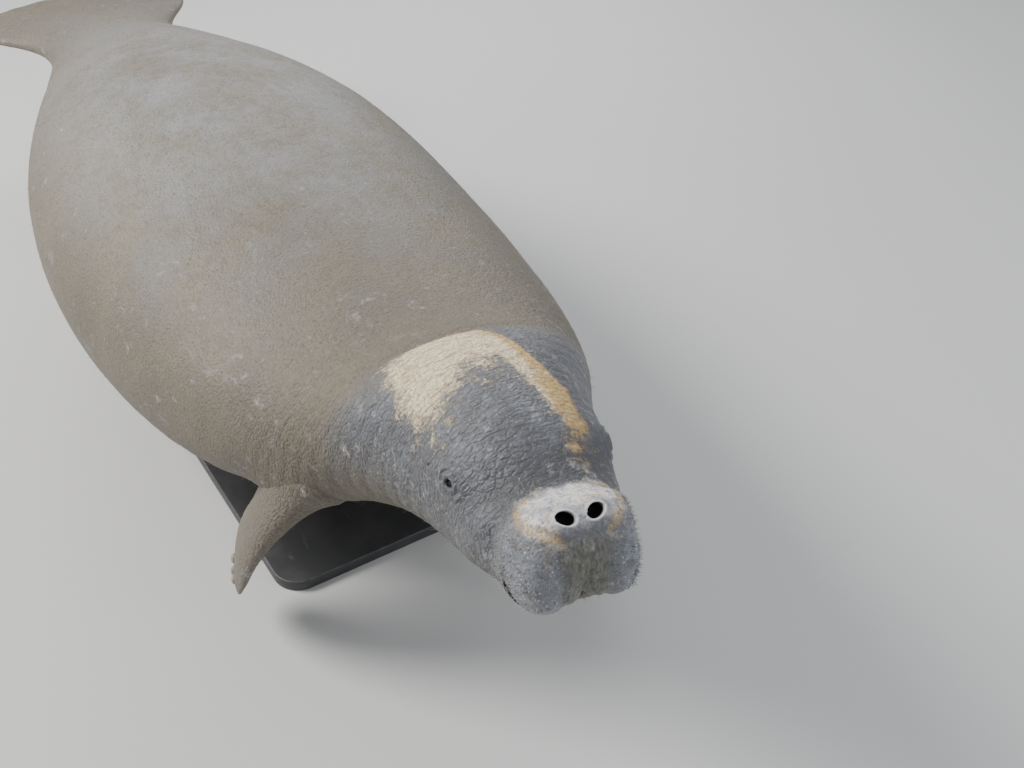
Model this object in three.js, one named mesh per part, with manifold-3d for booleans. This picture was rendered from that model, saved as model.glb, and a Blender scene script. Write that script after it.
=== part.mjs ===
// A manatee at rest with head and nostrils raised to breathe, carried by a plain
// display stand.
//
// The animal is shaped straight, in three measures: u runs back from the tip of the
// snout, v to the animal's left and h up from its level at rest, close to its back.
// pose() then turns head and neck a little to the right and sets everything over the
// stand, with +X towards the head, +Y to the animal's left, +Z up and the origin in the
// middle of the base's underside. All sizes are in millimetres.

import * as THREE from "three";
import { mergeVertices } from "three/addons/utils/BufferGeometryUtils.js";
import Module from "manifold-3d";

const wasm = await Module();
wasm.setup();

// Place over the floor
const REST_LEVEL = 820;
const SNOUT_TO_ORIGIN = 1640;

// Turn of the head, shared out between the shoulders and the back of the head
const HEAD_TURN = THREE.MathUtils.degToRad(11);
const TURN_FROM = 960;
const TURN_TO = 450;

// Gap between neighbours
const GAP = 0.3;

// Points on each ring of the skin, and rings on each length of it
const AROUND = { head: 46, neck: 42, body: 40, stock: 36, paddle: 40, flipper: 20 };
const RINGS = {
  mouth: 19,
  crown: 13,
  neck: 7,
  chest: 9,
  belly: 10,
  rump: 9,
  stock: 7,
  paddle: 17,
  flipper: 20,
};

// Points round each opening of the head and each turned part of the stand
const TURNED = { nostril: 14, lid: 14, rod: 24 };

// Places along the body where one part ends and the next begins
const CUTS = {
  muzzle: 132,
  head: 428,
  neck: 596,
  chest: 1200,
  belly: 1960,
  rump: 2560,
  stock: 2930,
};

// Level of the greatest width, as a share of the depth from the back
const WIDEST_LEVEL = 0.54;

// Outline of the head, from inside the mouth over the lips and back to the neck. Each
// row steers one ring round the mouth: its place over the top, at the side and below,
// then how square the ring is and how blunt its front is
const HEAD_ROWS = [
  { top: [90, -107], side: [90, 0, -107], below: [90, -107], square: 2.0, blunt: 4 },
  { top: [82, -105.5], side: [93, 48, -113], below: [82, -107.5], square: 2.1, blunt: 4 },
  { top: [50, -104.5], side: [100, 77, -120], below: [54, -107.5], square: 2.2, blunt: 5 },
  { top: [24, -105], side: [103, 87, -122.5], below: [40, -109.5], square: 2.3, blunt: 6 },
  { top: [8, -100], side: [101, 94, -119], below: [33, -116], square: 2.4, blunt: 6 },
  { top: [0, -82], side: [96, 100, -109], below: [34, -126], square: 2.5, blunt: 6 },
  { top: [-3, -52], side: [90, 104, -96], below: [40, -136], square: 2.5, blunt: 6 },
  { top: [0, -18], side: [86, 107, -81], below: [50, -145], square: 2.5, blunt: 6 },
  { top: [8, 14], side: [86, 108, -67], below: [62, -153], square: 2.5, blunt: 6 },
  { top: [20, 41], side: [90, 109, -57], below: [78, -161], square: 2.5, blunt: 6 },
  { top: [38, 58], side: [100, 111, -52], below: [94, -168], square: 2.5, blunt: 6 },
  { top: [62, 64], side: [115, 115, -51], below: [112, -175], square: 2.4, blunt: 5 },
  { top: [86, 58], side: [135, 121, -54], below: [131, -182], square: 2.4, blunt: 5 },
  { top: [106, 44], side: [158, 129, -59], below: [152, -190], square: 2.3, blunt: 4 },
  { top: [134, 37], side: [184, 136, -65], below: [174, -199], square: 2.3, blunt: 4 },
  { top: [172, 46], side: [212, 143, -70], below: [200, -210], square: 2.3, blunt: 4 },
  { top: [220, 70], side: [246, 152, -76], below: [236, -224], square: 2.3, blunt: 3 },
  { top: [282, 88], side: [292, 164, -80], below: [286, -242], square: 2.25, blunt: 2 },
];

// Outline of neck, body and tail: distance from the snout, half width, height of the
// back and height of the belly
const BODY_ROWS = [
  [346, 176, 94, -262],
  [404, 197, 92, -284],
  [468, 225, 82, -312],
  [540, 264, 56, -346],
  [622, 308, 8, -390],
  [714, 354, -30, -444],
  [832, 404, -42, -508],
  [980, 452, -38, -578],
  [1170, 496, -24, -644],
  [1390, 528, -4, -692],
  [1630, 546, 16, -712],
  [1870, 541, 28, -700],
  [2090, 506, 18, -652],
  [2290, 444, -10, -576],
  [2470, 368, -44, -488],
  [2630, 294, -78, -404],
  [2760, 238, -108, -340],
  [2860, 210, -132, -299],
  [2955, 220, -152, -274],
  [3045, 268, -170, -262],
  [3135, 326, -188, -261],
  [3225, 364, -204, -266],
  [3308, 374, -220, -274],
  [3386, 358, -234, -282],
  [3456, 318, -246, -288],
  [3512, 254, -255, -292],
  [3550, 172, -262, -295],
  [3570, 86, -266, -297],
  [3575, 0, -281, -281],
];

// Soft forms pressed into or drawn out of the head, alike on both sides: centre, reach
// and push, each along u, v and h
const FORMS = {
  lipPad: { at: [46, 80, -65], reach: [58, 44, 50], push: [-8, 7, -10] },
  cleft: { at: [0, 0, -85], reach: [42, 13, 44], push: [9, 0, 6] },
  crease: { at: [118, 112, -18], reach: [18, 46, 60], push: [0, -9, -4] },
  cheek: { at: [178, 134, -102], reach: [44, 54, 40], push: [0, 9, -5] },
  browMound: { at: [236, 143, 6], reach: [40, 40, 34], push: [0, 8, 4] },
  nostrilMound: { at: [38, 25, 60], reach: [24, 20, 30], push: [0, 3, 7] },
  temple: { at: [168, 106, 35], reach: [36, 46, 40], push: [0, -6, -5] },
  throatFold: { at: [330, 0, -264], reach: [16, 120, 30], push: [0, 0, 9] },
  napeFold: { at: [606, 0, 4], reach: [20, 190, 60], push: [0, 0, -9] },
};

// Nostril: place, half its width across, half its length, and how far its outer end is
// turned back
const NOSTRIL = { u: 40, v: 25, wide: 15, long: 11.5, depth: 36, turn: 0.45, rim: 2, rimWidth: 5 };

// Eye: its ball stands this far behind the skin, inside a round opening in raised lids
const EYE = { u: 236, h: 0, radius: 12, behind: 13.46, opening: 7, lidRadius: 16, lidHeight: 3 };

// Depth to which rims and lids are rooted in the flesh
const ROOTED = 10;

// Row of the skin at which the finer rings of the mouth end
const MOUTH_END = 11;

// Line of the mouth: levels at its corners and middle, half its width, how square its
// arch is, and the end of the jaw
const JAW = { back: 238, corner: -121.3, middle: -106.4, halfWidth: 80, square: 2.2, steps: 16 };

// A distance beyond the head on every side
const BEYOND = 900;

// Flipper: its path from inside the shoulder to its tip, with half its width and half
// its thickness on the way
const FLIPPER_ROWS = [
  { at: [686, 226, -280], wide: 62, thick: 46 },
  { at: [704, 268, -314], wide: 66, thick: 44 },
  { at: [724, 308, -354], wide: 70, thick: 39 },
  { at: [750, 350, -406], wide: 75, thick: 33 },
  { at: [780, 385, -468], wide: 82, thick: 27 },
  { at: [810, 411, -534], wide: 88, thick: 21 },
  { at: [838, 427, -602], wide: 86, thick: 16 },
  { at: [862, 436, -662], wide: 71, thick: 12 },
  { at: [878, 440, -702], wide: 43, thick: 8 },
  { at: [885, 441, -717], wide: 0, thick: 0 },
];
// Row at which the flipper leaves the chest
const FLIPPER_ROOT = 2;
const NAILS = { places: [-0.46, -0.02, 0.4], down: [7.35, 7.55, 7.25], size: [15, 11, 7] };

const STAND = {
  length: 1500,
  width: 680,
  thick: 30,
  corner: 70,
  bevel: 4,
  rodSpacing: 960,
  rodRadius: 24,
  rodTop: 260,
  collarRadius: 62,
  collarHeight: 12,
  collarBevel: 3,
};

const COLOURS = {
  hide: { color: 0x77736a, roughness: 0.62, metalness: 0 },
  crown: { color: 0x9c9686, roughness: 0.75, metalness: 0 },
  snout: { color: 0x8d8b88, roughness: 0.6, metalness: 0 },
  paddle: { color: 0x6b675e, roughness: 0.62, metalness: 0 },
  eye: { color: 0x17130f, roughness: 0.15, metalness: 0 },
  nail: { color: 0xb6a88e, roughness: 0.45, metalness: 0 },
  base: { color: 0x3a3b3d, roughness: 0.6, metalness: 0 },
  rod: { color: 0xa9abad, roughness: 0.35, metalness: 1 },
};

// Steering rows

// A body row in the same form as a head row. Its whole ring stands at one distance
function bodyRow([u, half, back, belly]) {
  const level = back + (belly - back) * WIDEST_LEVEL;
  return { top: [u, back], side: [u, half, level], below: [u, belly], square: 2.12, blunt: 2 };
}

function flat(row) {
  return [...row.top, ...row.side, ...row.below, row.square, row.blunt];
}

const ROWS = [...HEAD_ROWS, ...BODY_ROWS.map(bodyRow)].map(flat);

// The smooth curve steered by rows of numbers, a uniform cubic B-spline whose ends are
// pinned to the first and last row
function steered(rows, t) {
  const last = rows.length - 1;
  const cell = Math.min(Math.floor(t), last - 1);
  const f = t - cell;
  const mirrored = (a, b) => a.map((value, i) => 2 * value - b[i]);
  const before = cell > 0 ? rows[cell - 1] : mirrored(rows[0], rows[1]);
  const after = cell < last - 1 ? rows[cell + 2] : mirrored(rows[last], rows[last - 1]);
  const weights = [
    (1 - f) ** 3 / 6,
    (3 * f ** 3 - 6 * f ** 2 + 4) / 6,
    (-3 * f ** 3 + 3 * f ** 2 + 3 * f + 1) / 6,
    f ** 3 / 6,
  ];
  const near = [before, rows[cell], rows[cell + 1], after];
  return rows[cell].map((_, i) => near.reduce((sum, row, k) => sum + weights[k] * row[i], 0));
}

const signedPower = (value, power) => Math.sign(value) * Math.abs(value) ** power;

// The body without its soft forms, at place t along the rows and at an angle that runs
// from the animal's left over its back
function plainSkin(t, angle) {
  const [topU, topH, sideU, sideV, sideH, belowU, belowH, square, blunt] = steered(ROWS, t);
  const across = Math.cos(angle);
  const up = Math.sin(angle);
  const endU = up >= 0 ? topU : belowU;
  const endH = up >= 0 ? topH : belowH;
  return [
    endU + (sideU - endU) * Math.abs(across) ** blunt,
    sideV * signedPower(across, 2 / square),
    sideH + (endH - sideH) * Math.abs(up) ** (2 / square),
  ];
}

// Moves a point by every soft form that reaches it
function formed([u, v, h]) {
  const side = Math.sign(v);
  const moved = [u, v, h];
  for (const { at, reach, push } of Object.values(FORMS)) {
    const away =
      ((u - at[0]) / reach[0]) ** 2 +
      ((Math.abs(v) - at[1]) / reach[1]) ** 2 +
      ((h - at[2]) / reach[2]) ** 2;
    const share = Math.exp(-away);
    moved[0] += share * push[0];
    moved[1] += share * push[1] * side;
    moved[2] += share * push[2];
  }
  return moved;
}

const skin = (t, angle) => formed(plainSkin(t, angle));

// Place along the rows of a ring that stands at one distance from the snout
function rowAt(distance) {
  let low = HEAD_ROWS.length;
  let high = ROWS.length - 1;
  for (let step = 0; step < 40; step += 1) {
    const middle = (low + high) / 2;
    if (steered(ROWS, middle)[0] < distance) low = middle;
    else high = middle;
  }
  return (low + high) / 2;
}

// The point of the skin where two of its three measures have the values asked for, with
// the outward direction there, found by Newton's steps from a first guess
function onSkin(axes, wanted, guess) {
  let [t, angle] = guess;
  const tiny = 1e-4;
  const read = (a, b) => axes.map((axis) => skin(a, b)[axis]);
  for (let step = 0; step < 30; step += 1) {
    const here = read(t, angle);
    const byT = read(t + tiny, angle).map((value, i) => (value - here[i]) / tiny);
    const byAngle = read(t, angle + tiny).map((value, i) => (value - here[i]) / tiny);
    const miss = wanted.map((value, i) => value - here[i]);
    const area = byT[0] * byAngle[1] - byT[1] * byAngle[0];
    t += THREE.MathUtils.clamp((miss[0] * byAngle[1] - miss[1] * byAngle[0]) / area, -0.5, 0.5);
    angle += THREE.MathUtils.clamp((byT[0] * miss[1] - byT[1] * miss[0]) / area, -0.2, 0.2);
  }
  const point = new THREE.Vector3(...skin(t, angle));
  const alongT = new THREE.Vector3(...skin(t + tiny, angle)).sub(point);
  const alongAngle = new THREE.Vector3(...skin(t, angle + tiny)).sub(point);
  return { point, outward: alongAngle.cross(alongT).normalize() };
}

// Meshes

// A closed shell over rings of points. A ring of one point closes an end in a tip, and
// any other end ring is closed flat
function shell(rings) {
  const places = [];
  const faces = [];
  const starts = rings.map((ring) => {
    const start = places.length / 3;
    ring.forEach((point) => places.push(...point));
    return start;
  });
  const tipOf = (ring, start) => {
    if (ring.length === 1) return start;
    const middle = [0, 1, 2].map((axis) => ring.reduce((sum, p) => sum + p[axis], 0) / ring.length);
    places.push(...middle);
    return places.length / 3 - 1;
  };
  const fan = (tip, start, count, forward) => {
    for (let i = 0; i < count; i += 1) {
      const a = start + i;
      const b = start + ((i + 1) % count);
      faces.push(...(forward ? [tip, b, a] : [tip, a, b]));
    }
  };
  const ends = [0, rings.length - 1];
  for (const end of ends) {
    const tip = tipOf(rings[end], starts[end]);
    const next = rings[end].length > 1 ? end : Math.abs(end - 1);
    fan(tip, starts[next], rings[next].length, end === 0);
  }
  for (let k = 0; k + 1 < rings.length; k += 1) {
    const count = rings[k].length;
    if (count === 1 || rings[k + 1].length === 1) continue;
    for (let i = 0; i < count; i += 1) {
      const j = (i + 1) % count;
      const [a, b, c, d] = [starts[k] + i, starts[k] + j, starts[k + 1] + j, starts[k + 1] + i];
      faces.push(a, b, c, a, c, d);
    }
  }
  const geometry = new THREE.BufferGeometry();
  geometry.setAttribute("position", new THREE.Float32BufferAttribute(places, 3));
  geometry.setIndex(faces);
  return geometry;
}

// Rings of the skin from one place along the rows to another
function skinRings(from, to, count, around) {
  return Array.from({ length: count + 1 }, (_, k) => {
    const t = from + ((to - from) * k) / count;
    const isTip = steered(ROWS, t)[3] < 1e-6;
    const points = isTip ? 1 : around;
    return Array.from({ length: points }, (_, i) => skin(t, (2 * Math.PI * i) / around));
  });
}

// A length of the body between two distances, with flat ends half a gap short of them
function length(from, to, count, around) {
  const start = rowAt(from + GAP / 2);
  const end = to ? rowAt(to - GAP / 2) : ROWS.length - 1;
  return shell(skinRings(start, end, count, around));
}

function bare(geometry) {
  const copy = geometry.clone();
  copy.deleteAttribute("normal");
  copy.deleteAttribute("uv");
  return mergeVertices(copy, 1e-4);
}

function solid(geometry) {
  const merged = bare(geometry);
  const vertProperties = new Float32Array(merged.attributes.position.array);
  const triVerts = new Uint32Array(merged.index.array);
  return new wasm.Manifold(new wasm.Mesh({ numProp: 3, vertProperties, triVerts }));
}

// The largest closed body of a solid, as a geometry
function shape(body) {
  const pieces = body.decompose().sort((a, b) => b.volume() - a.volume());
  const mesh = pieces[0].getMesh();
  const geometry = new THREE.BufferGeometry();
  geometry.setAttribute("position", new THREE.Float32BufferAttribute(mesh.vertProperties, 3));
  geometry.setIndex([...mesh.triVerts]);
  return geometry;
}

// The same closed shape, drawn outwards all over by one gap
function swollen(geometry, by = GAP) {
  const merged = bare(geometry);
  merged.computeVertexNormals();
  const place = merged.attributes.position;
  const normal = merged.attributes.normal;
  for (let i = 0; i < place.count; i += 1) {
    place.setXYZ(
      i,
      place.getX(i) + by * normal.getX(i),
      place.getY(i) + by * normal.getY(i),
      place.getZ(i) + by * normal.getZ(i),
    );
  }
  merged.deleteAttribute("normal");
  return merged;
}

function block(low, high) {
  const size = high.map((value, i) => value - low[i]);
  const middle = high.map((value, i) => (value + low[i]) / 2);
  return solid(new THREE.BoxGeometry(...size).translate(...middle));
}

function lathed(profile, around) {
  return new THREE.LatheGeometry(
    profile.map(([radius, height]) => new THREE.Vector2(radius, height)),
    around,
  );
}

// A lathed shape stood on the skin: its profile's height runs along the outward
// direction from the point. An oval one is wide across, its outer end turned back
function stoodOn(profile, around, { point, outward }, { wide, long, turn } = { wide: 1, long: 1, turn: 0 }) {
  const upright = lathed(profile, around).scale(long / wide, 1, 1).rotateY(-turn);
  const lean = new THREE.Quaternion().setFromUnitVectors(new THREE.Vector3(0, 1, 0), outward);
  return upright.applyQuaternion(lean).translate(point.x, point.y, point.z);
}

// Turns every face of a geometry over, as a mirrored one needs
function turnOver(geometry) {
  const index = geometry.index.array;
  for (let i = 0; i < index.length; i += 3) {
    [index[i + 1], index[i + 2]] = [index[i + 2], index[i + 1]];
  }
  return geometry;
}

function mirrored(geometry) {
  return turnOver(bare(geometry).scale(1, -1, 1));
}

// Head

const NOSTRIL_ON_SKIN = onSkin([0, 1], [NOSTRIL.u, NOSTRIL.v], [10, 1.3]);
const EYE_ON_SKIN = onSkin([0, 2], [EYE.u, EYE.h], [16, 0.5]);

function nostrilPit() {
  const { wide, depth, rim } = NOSTRIL;
  const mouth = 4 * rim;
  const profile = [
    [0, -depth],
    [wide * 0.55, -depth * 0.86],
    [wide * 0.8, -depth * 0.4],
    [wide * 0.94, 0],
    [wide * 1.3, mouth],
    [0, mouth],
  ];
  return stoodOn(profile, TURNED.nostril, NOSTRIL_ON_SKIN, NOSTRIL);
}

function nostrilRim() {
  const { wide, rim, rimWidth } = NOSTRIL;
  const outer = wide + rimWidth;
  const profile = [
    [0, -ROOTED],
    [outer, -ROOTED],
    [outer, -rim * 0.25],
    [wide + rimWidth * 0.5, rim * 0.7],
    [wide, rim],
    [0, rim],
  ];
  return stoodOn(profile, TURNED.nostril, NOSTRIL_ON_SKIN, NOSTRIL);
}

function lidRing() {
  const { lidRadius, lidHeight, opening } = EYE;
  const profile = [
    [0, -ROOTED],
    [lidRadius, -ROOTED],
    [lidRadius, -lidHeight * 0.17],
    [lidRadius * 0.8, lidHeight * 0.73],
    [(lidRadius + opening) / 2, lidHeight],
    [opening + 1, lidHeight * 0.53],
    [opening, 0],
    [0, 0],
  ];
  return stoodOn(profile, TURNED.lid, EYE_ON_SKIN);
}

function eyeOpening() {
  const { opening, lidHeight } = EYE;
  const [low, high] = [-opening - 1, 2 * lidHeight];
  return stoodOn([[0, low], [opening, low], [opening, high], [0, high]], TURNED.lid, EYE_ON_SKIN);
}

function eyeBall(radius) {
  const { point, outward } = EYE_ON_SKIN;
  const middle = point.clone().addScaledVector(outward, -EYE.behind);
  return new THREE.SphereGeometry(radius, 12, 8).translate(middle.x, middle.y, middle.z);
}

// Everything below the line of the mouth: an arch across the head that runs level
// outwards from the corners, drawn back to the end of the jaw
function jawBlock(grow) {
  const { back, corner, middle, halfWidth, square, steps } = JAW;
  const outline = new THREE.Shape();
  outline.moveTo(-BEYOND, -BEYOND);
  outline.lineTo(BEYOND, -BEYOND);
  outline.lineTo(BEYOND, corner + grow);
  for (let i = 0; i <= steps; i += 1) {
    const v = halfWidth * Math.cos((Math.PI * i) / steps);
    const rise = (1 - Math.abs(v / halfWidth) ** square) ** (1 / square);
    outline.lineTo(v, corner + (middle - corner) * rise + grow);
  }
  outline.lineTo(-BEYOND, corner + grow);
  outline.closePath();
  const settings = { depth: BEYOND + back + grow, bevelEnabled: false };
  const drawn = new THREE.ExtrudeGeometry(outline, settings);
  // Shape x, y and depth become v, h and u
  const basis = new THREE.Matrix4().makeBasis(
    new THREE.Vector3(0, 1, 0),
    new THREE.Vector3(0, 0, 1),
    new THREE.Vector3(1, 0, 0),
  );
  return solid(drawn.applyMatrix4(basis).translate(-BEYOND, 0, 0));
}

function headPieces() {
  const end = rowAt(CUTS.head - GAP / 2);
  const mouthRings = skinRings(0, MOUTH_END, RINGS.mouth, AROUND.head);
  const crownRings = skinRings(MOUTH_END, end, RINGS.crown, AROUND.head).slice(1);
  const rings = [...mouthRings, ...crownRings];
  let whole = solid(shell(rings));
  const addBoth = (geometry) => {
    whole = whole.add(solid(geometry)).add(solid(mirrored(geometry)));
  };
  const cutBoth = (geometry) => {
    whole = whole.subtract(solid(geometry)).subtract(solid(mirrored(geometry)));
  };
  addBoth(nostrilRim());
  cutBoth(nostrilPit());
  addBoth(lidRing());
  cutBoth(eyeOpening());
  cutBoth(eyeBall(EYE.radius + GAP));
  const jaw = whole.intersect(jawBlock(0));
  const upper = whole.subtract(jawBlock(GAP));
  const front = block([-BEYOND, -BEYOND, -BEYOND], [CUTS.muzzle - GAP / 2, BEYOND, BEYOND]);
  const rest = block([CUTS.muzzle + GAP / 2, -BEYOND, -BEYOND], [BEYOND, BEYOND, BEYOND]);
  return {
    muzzle: shape(upper.intersect(front)),
    head: shape(upper.intersect(rest)),
    lower_jaw: shape(jaw),
    eye_left: eyeBall(EYE.radius),
    eye_right: mirrored(eyeBall(EYE.radius)),
  };
}

// Flippers

const FLIPPER_STEER = FLIPPER_ROWS.map(({ at, wide, thick }) => [...at, wide, thick]);

// Middle, directions and half sizes of the flipper at a place along its rows
function flipperAt(t) {
  const last = FLIPPER_STEER.length - 1;
  const here = steered(FLIPPER_STEER, t);
  const ahead = steered(FLIPPER_STEER, Math.min(t + 0.01, last));
  const behind = steered(FLIPPER_STEER, Math.max(t - 0.01, 0));
  const along = new THREE.Vector3(...ahead.slice(0, 3)).sub(new THREE.Vector3(...behind.slice(0, 3)));
  along.normalize();
  const chord = new THREE.Vector3(-1, 0.25, 0);
  chord.addScaledVector(along, -chord.dot(along)).normalize();
  const through = new THREE.Vector3().crossVectors(along, chord).normalize();
  return { middle: new THREE.Vector3(...here.slice(0, 3)), chord, through, wide: here[3], thick: here[4] };
}

function flipperPoint(t, angle) {
  const { middle, chord, through, wide, thick } = flipperAt(t);
  const point = middle.clone();
  point.addScaledVector(chord, wide * Math.cos(angle));
  point.addScaledVector(through, thick * Math.sin(angle));
  return point.toArray();
}

function flipperBlade() {
  const last = FLIPPER_STEER.length - 1;
  const rings = Array.from({ length: RINGS.flipper + 1 }, (_, k) => {
    const t = (last * k) / RINGS.flipper;
    const points = k === RINGS.flipper ? 1 : AROUND.flipper;
    const turn = (2 * Math.PI) / AROUND.flipper;
    return Array.from({ length: points }, (_, i) => flipperPoint(t, turn * i));
  });
  return shell(rings);
}

function nail(place, down) {
  const [long, wide, thick] = NAILS.size;
  const { middle, chord, through, wide: half, thick: depth } = flipperAt(down);
  const side = Math.sqrt(1 - place ** 2);
  const along = new THREE.Vector3().crossVectors(chord, through).normalize();
  const centre = middle.clone().addScaledVector(chord, place * half).addScaledVector(through, depth * side);
  const basis = new THREE.Matrix4().makeBasis(chord, through, along);
  const plate = new THREE.SphereGeometry(1, 10, 8).scale(wide, thick, long);
  return plate.applyMatrix4(basis).translate(centre.x, centre.y, centre.z);
}

// Body

const CHEST = length(CUTS.neck, CUTS.chest, RINGS.chest, AROUND.body);
const BELLY = length(CUTS.chest, CUTS.belly, RINGS.belly, AROUND.body);
const RUMP = length(CUTS.belly, CUTS.rump, RINGS.rump, AROUND.body);

function bodyPieces() {
  return {
    neck: length(CUTS.head, CUTS.neck, RINGS.neck, AROUND.neck),
    chest: CHEST,
    belly: BELLY,
    rump: RUMP,
    tail_stock: length(CUTS.rump, CUTS.stock, RINGS.stock, AROUND.stock),
    tail_paddle: length(CUTS.stock, null, RINGS.paddle, AROUND.paddle),
  };
}

// Pose

// Where the turn of head and neck takes a place: it turns to the right about an upright
// axis. Nothing moves behind the shoulders, the neck follows an arc, and the head in
// front of it turns as one
function posed(u, v, h) {
  const forward = TURN_FROM - u;
  const radius = (TURN_FROM - TURN_TO) / HEAD_TURN;
  const angle = THREE.MathUtils.clamp(forward / radius, 0, HEAD_TURN);
  const straight = forward - angle * radius;
  const x = (radius + v) * Math.sin(angle) + straight * Math.cos(angle);
  const y = (radius + v) * Math.cos(angle) - straight * Math.sin(angle) - radius;
  return { angle, place: [SNOUT_TO_ORIGIN - TURN_FROM + x, y, REST_LEVEL + h] };
}

// Sets a shape into the pose point by point. X runs against u, so its faces are turned
// over as well
function pose(geometry) {
  const copy = bare(geometry);
  const place = copy.attributes.position;
  for (let i = 0; i < place.count; i += 1) {
    place.setXYZ(i, ...posed(place.getX(i), place.getY(i), place.getZ(i)).place);
  }
  turnOver(copy).computeVertexNormals();
  return copy;
}

// Sets a shape into the pose as one stiff piece, moved as its root is
function poseStiff(geometry, [u, v, h]) {
  const { angle, place } = posed(u, v, h);
  const copy = turnOver(bare(geometry).translate(-u, -v, -h).scale(-1, 1, 1));
  copy.rotateZ(-angle).translate(...place).computeVertexNormals();
  return copy;
}

// One flipper and its nails in the pose. The flipper ends on the chest, and each nail on
// the flipper
function flipperPieces(side) {
  const [u, v, h] = FLIPPER_ROWS[FLIPPER_ROOT].at;
  const left = side === "left";
  const root = [u, left ? v : -v, h];
  const placed = (geometry) => poseStiff(left ? geometry : mirrored(geometry), root);
  const flipper = shape(solid(placed(flipperBlade())).subtract(solid(swollen(pose(CHEST)))));
  const pieces = { [`flipper_${side}`]: flipper };
  NAILS.places.forEach((place, i) => {
    const plate = solid(placed(nail(place, NAILS.down[i])));
    pieces[`nail_${side}_${i + 1}`] = shape(plate.subtract(solid(swollen(flipper))));
  });
  return pieces;
}

// Stand

function standBase() {
  const { length: long, width, thick, corner, bevel } = STAND;
  const x = long / 2 - bevel;
  const y = width / 2 - bevel;
  const outline = new THREE.Shape();
  outline.moveTo(-x + corner, -y);
  outline.lineTo(x - corner, -y);
  outline.absarc(x - corner, -y + corner, corner, -Math.PI / 2, 0);
  outline.absarc(x - corner, y - corner, corner, 0, Math.PI / 2);
  outline.absarc(-x + corner, y - corner, corner, Math.PI / 2, Math.PI);
  outline.absarc(-x + corner, -y + corner, corner, Math.PI, 1.5 * Math.PI);
  const settings = {
    depth: thick - 2 * bevel,
    bevelThickness: bevel,
    bevelSize: bevel,
    bevelSegments: 1,
    curveSegments: 6,
  };
  return new THREE.ExtrudeGeometry(outline, settings).translate(0, 0, bevel);
}

// A round rod with a collar at its foot, trimmed to the underside that it carries
function standRod(x, carried) {
  const { thick, rodRadius, rodTop, collarRadius, collarHeight, collarBevel } = STAND;
  const foot = thick + GAP;
  const profile = [
    [0, foot],
    [collarRadius, foot],
    [collarRadius, foot + collarHeight - collarBevel],
    [collarRadius - collarBevel, foot + collarHeight],
    [rodRadius, foot + collarHeight],
    [rodRadius, rodTop],
    [0, rodTop],
  ];
  const turned = lathed(profile, TURNED.rod).rotateX(Math.PI / 2).translate(x, 0, 0);
  return shape(solid(turned).subtract(solid(swollen(carried))));
}

// The model

function mesh(name, geometry, finish) {
  const material = new THREE.MeshStandardMaterial(COLOURS[finish]);
  const piece = new THREE.Mesh(geometry, material);
  piece.name = name;
  return piece;
}

const FINISHES = {
  muzzle: "snout",
  lower_jaw: "snout",
  head: "crown",
  neck: "crown",
  tail_paddle: "paddle",
};

function finishOf(name) {
  if (name.startsWith("eye")) return "eye";
  if (name.startsWith("nail")) return "nail";
  return FINISHES[name] ?? "hide";
}

const manatee = new THREE.Group();

for (const [name, geometry] of Object.entries({ ...headPieces(), ...bodyPieces() })) {
  manatee.add(mesh(name, pose(geometry), finishOf(name)));
}
for (const side of ["left", "right"]) {
  for (const [name, geometry] of Object.entries(flipperPieces(side))) {
    manatee.add(mesh(name, geometry, finishOf(name)));
  }
}

manatee.add(mesh("stand_base", standBase(), "base"));
manatee.add(mesh("stand_rod_front", standRod(STAND.rodSpacing / 2, pose(CHEST)), "rod"));
manatee.add(mesh("stand_rod_rear", standRod(-STAND.rodSpacing / 2, pose(RUMP)), "rod"));

export default manatee;
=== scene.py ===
"""A life-size manatee, held still as it rests with its head raised to breathe.

The body is worked out straight, in millimetres: u runs back from the tip of the snout,
v to the animal's left and h up from its resting level. posed() then turns head and neck
a little to the right and sets everything over the display stand, in metres.
"""

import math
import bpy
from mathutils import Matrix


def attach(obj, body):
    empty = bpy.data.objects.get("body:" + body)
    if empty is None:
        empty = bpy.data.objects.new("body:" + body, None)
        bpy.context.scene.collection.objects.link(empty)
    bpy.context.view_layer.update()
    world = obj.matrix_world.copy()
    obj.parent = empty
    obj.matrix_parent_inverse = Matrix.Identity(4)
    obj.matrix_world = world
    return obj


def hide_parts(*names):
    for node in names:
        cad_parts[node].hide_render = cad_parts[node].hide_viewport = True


bl_info = {
    "name": "Manatee model",
    "version": (1, 0, 0),
    "blender": (4, 5, 0),
    "location": "3D View > Sidebar > Manatee",
    "description": "Builds a still, life-size manatee on its display stand, piece by piece",
    "category": "Add Mesh",
}

import bpy
import numpy as np
from mathutils import Matrix, Vector

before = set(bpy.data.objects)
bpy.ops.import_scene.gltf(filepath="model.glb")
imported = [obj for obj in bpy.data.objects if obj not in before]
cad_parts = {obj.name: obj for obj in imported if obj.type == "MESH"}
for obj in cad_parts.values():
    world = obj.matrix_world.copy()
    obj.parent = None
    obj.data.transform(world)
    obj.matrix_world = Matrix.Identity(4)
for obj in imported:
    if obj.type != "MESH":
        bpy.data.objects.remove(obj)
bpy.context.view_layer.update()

# Place over the floor and turn of the head

REST_LEVEL = 820.0
SNOUT_TO_ORIGIN = 1640.0
HEAD_TURN = math.radians(11)
TURN_FROM = 960.0
TURN_TO = 450.0
WIDEST_LEVEL = 0.54
MM = 0.001

# Outline of the head, from inside the mouth over the lips and back to the neck. A row
# holds its place over the top (u, h), at the side (u, v, h) and below (u, h), then how
# square its ring is and how blunt its front is

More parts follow.
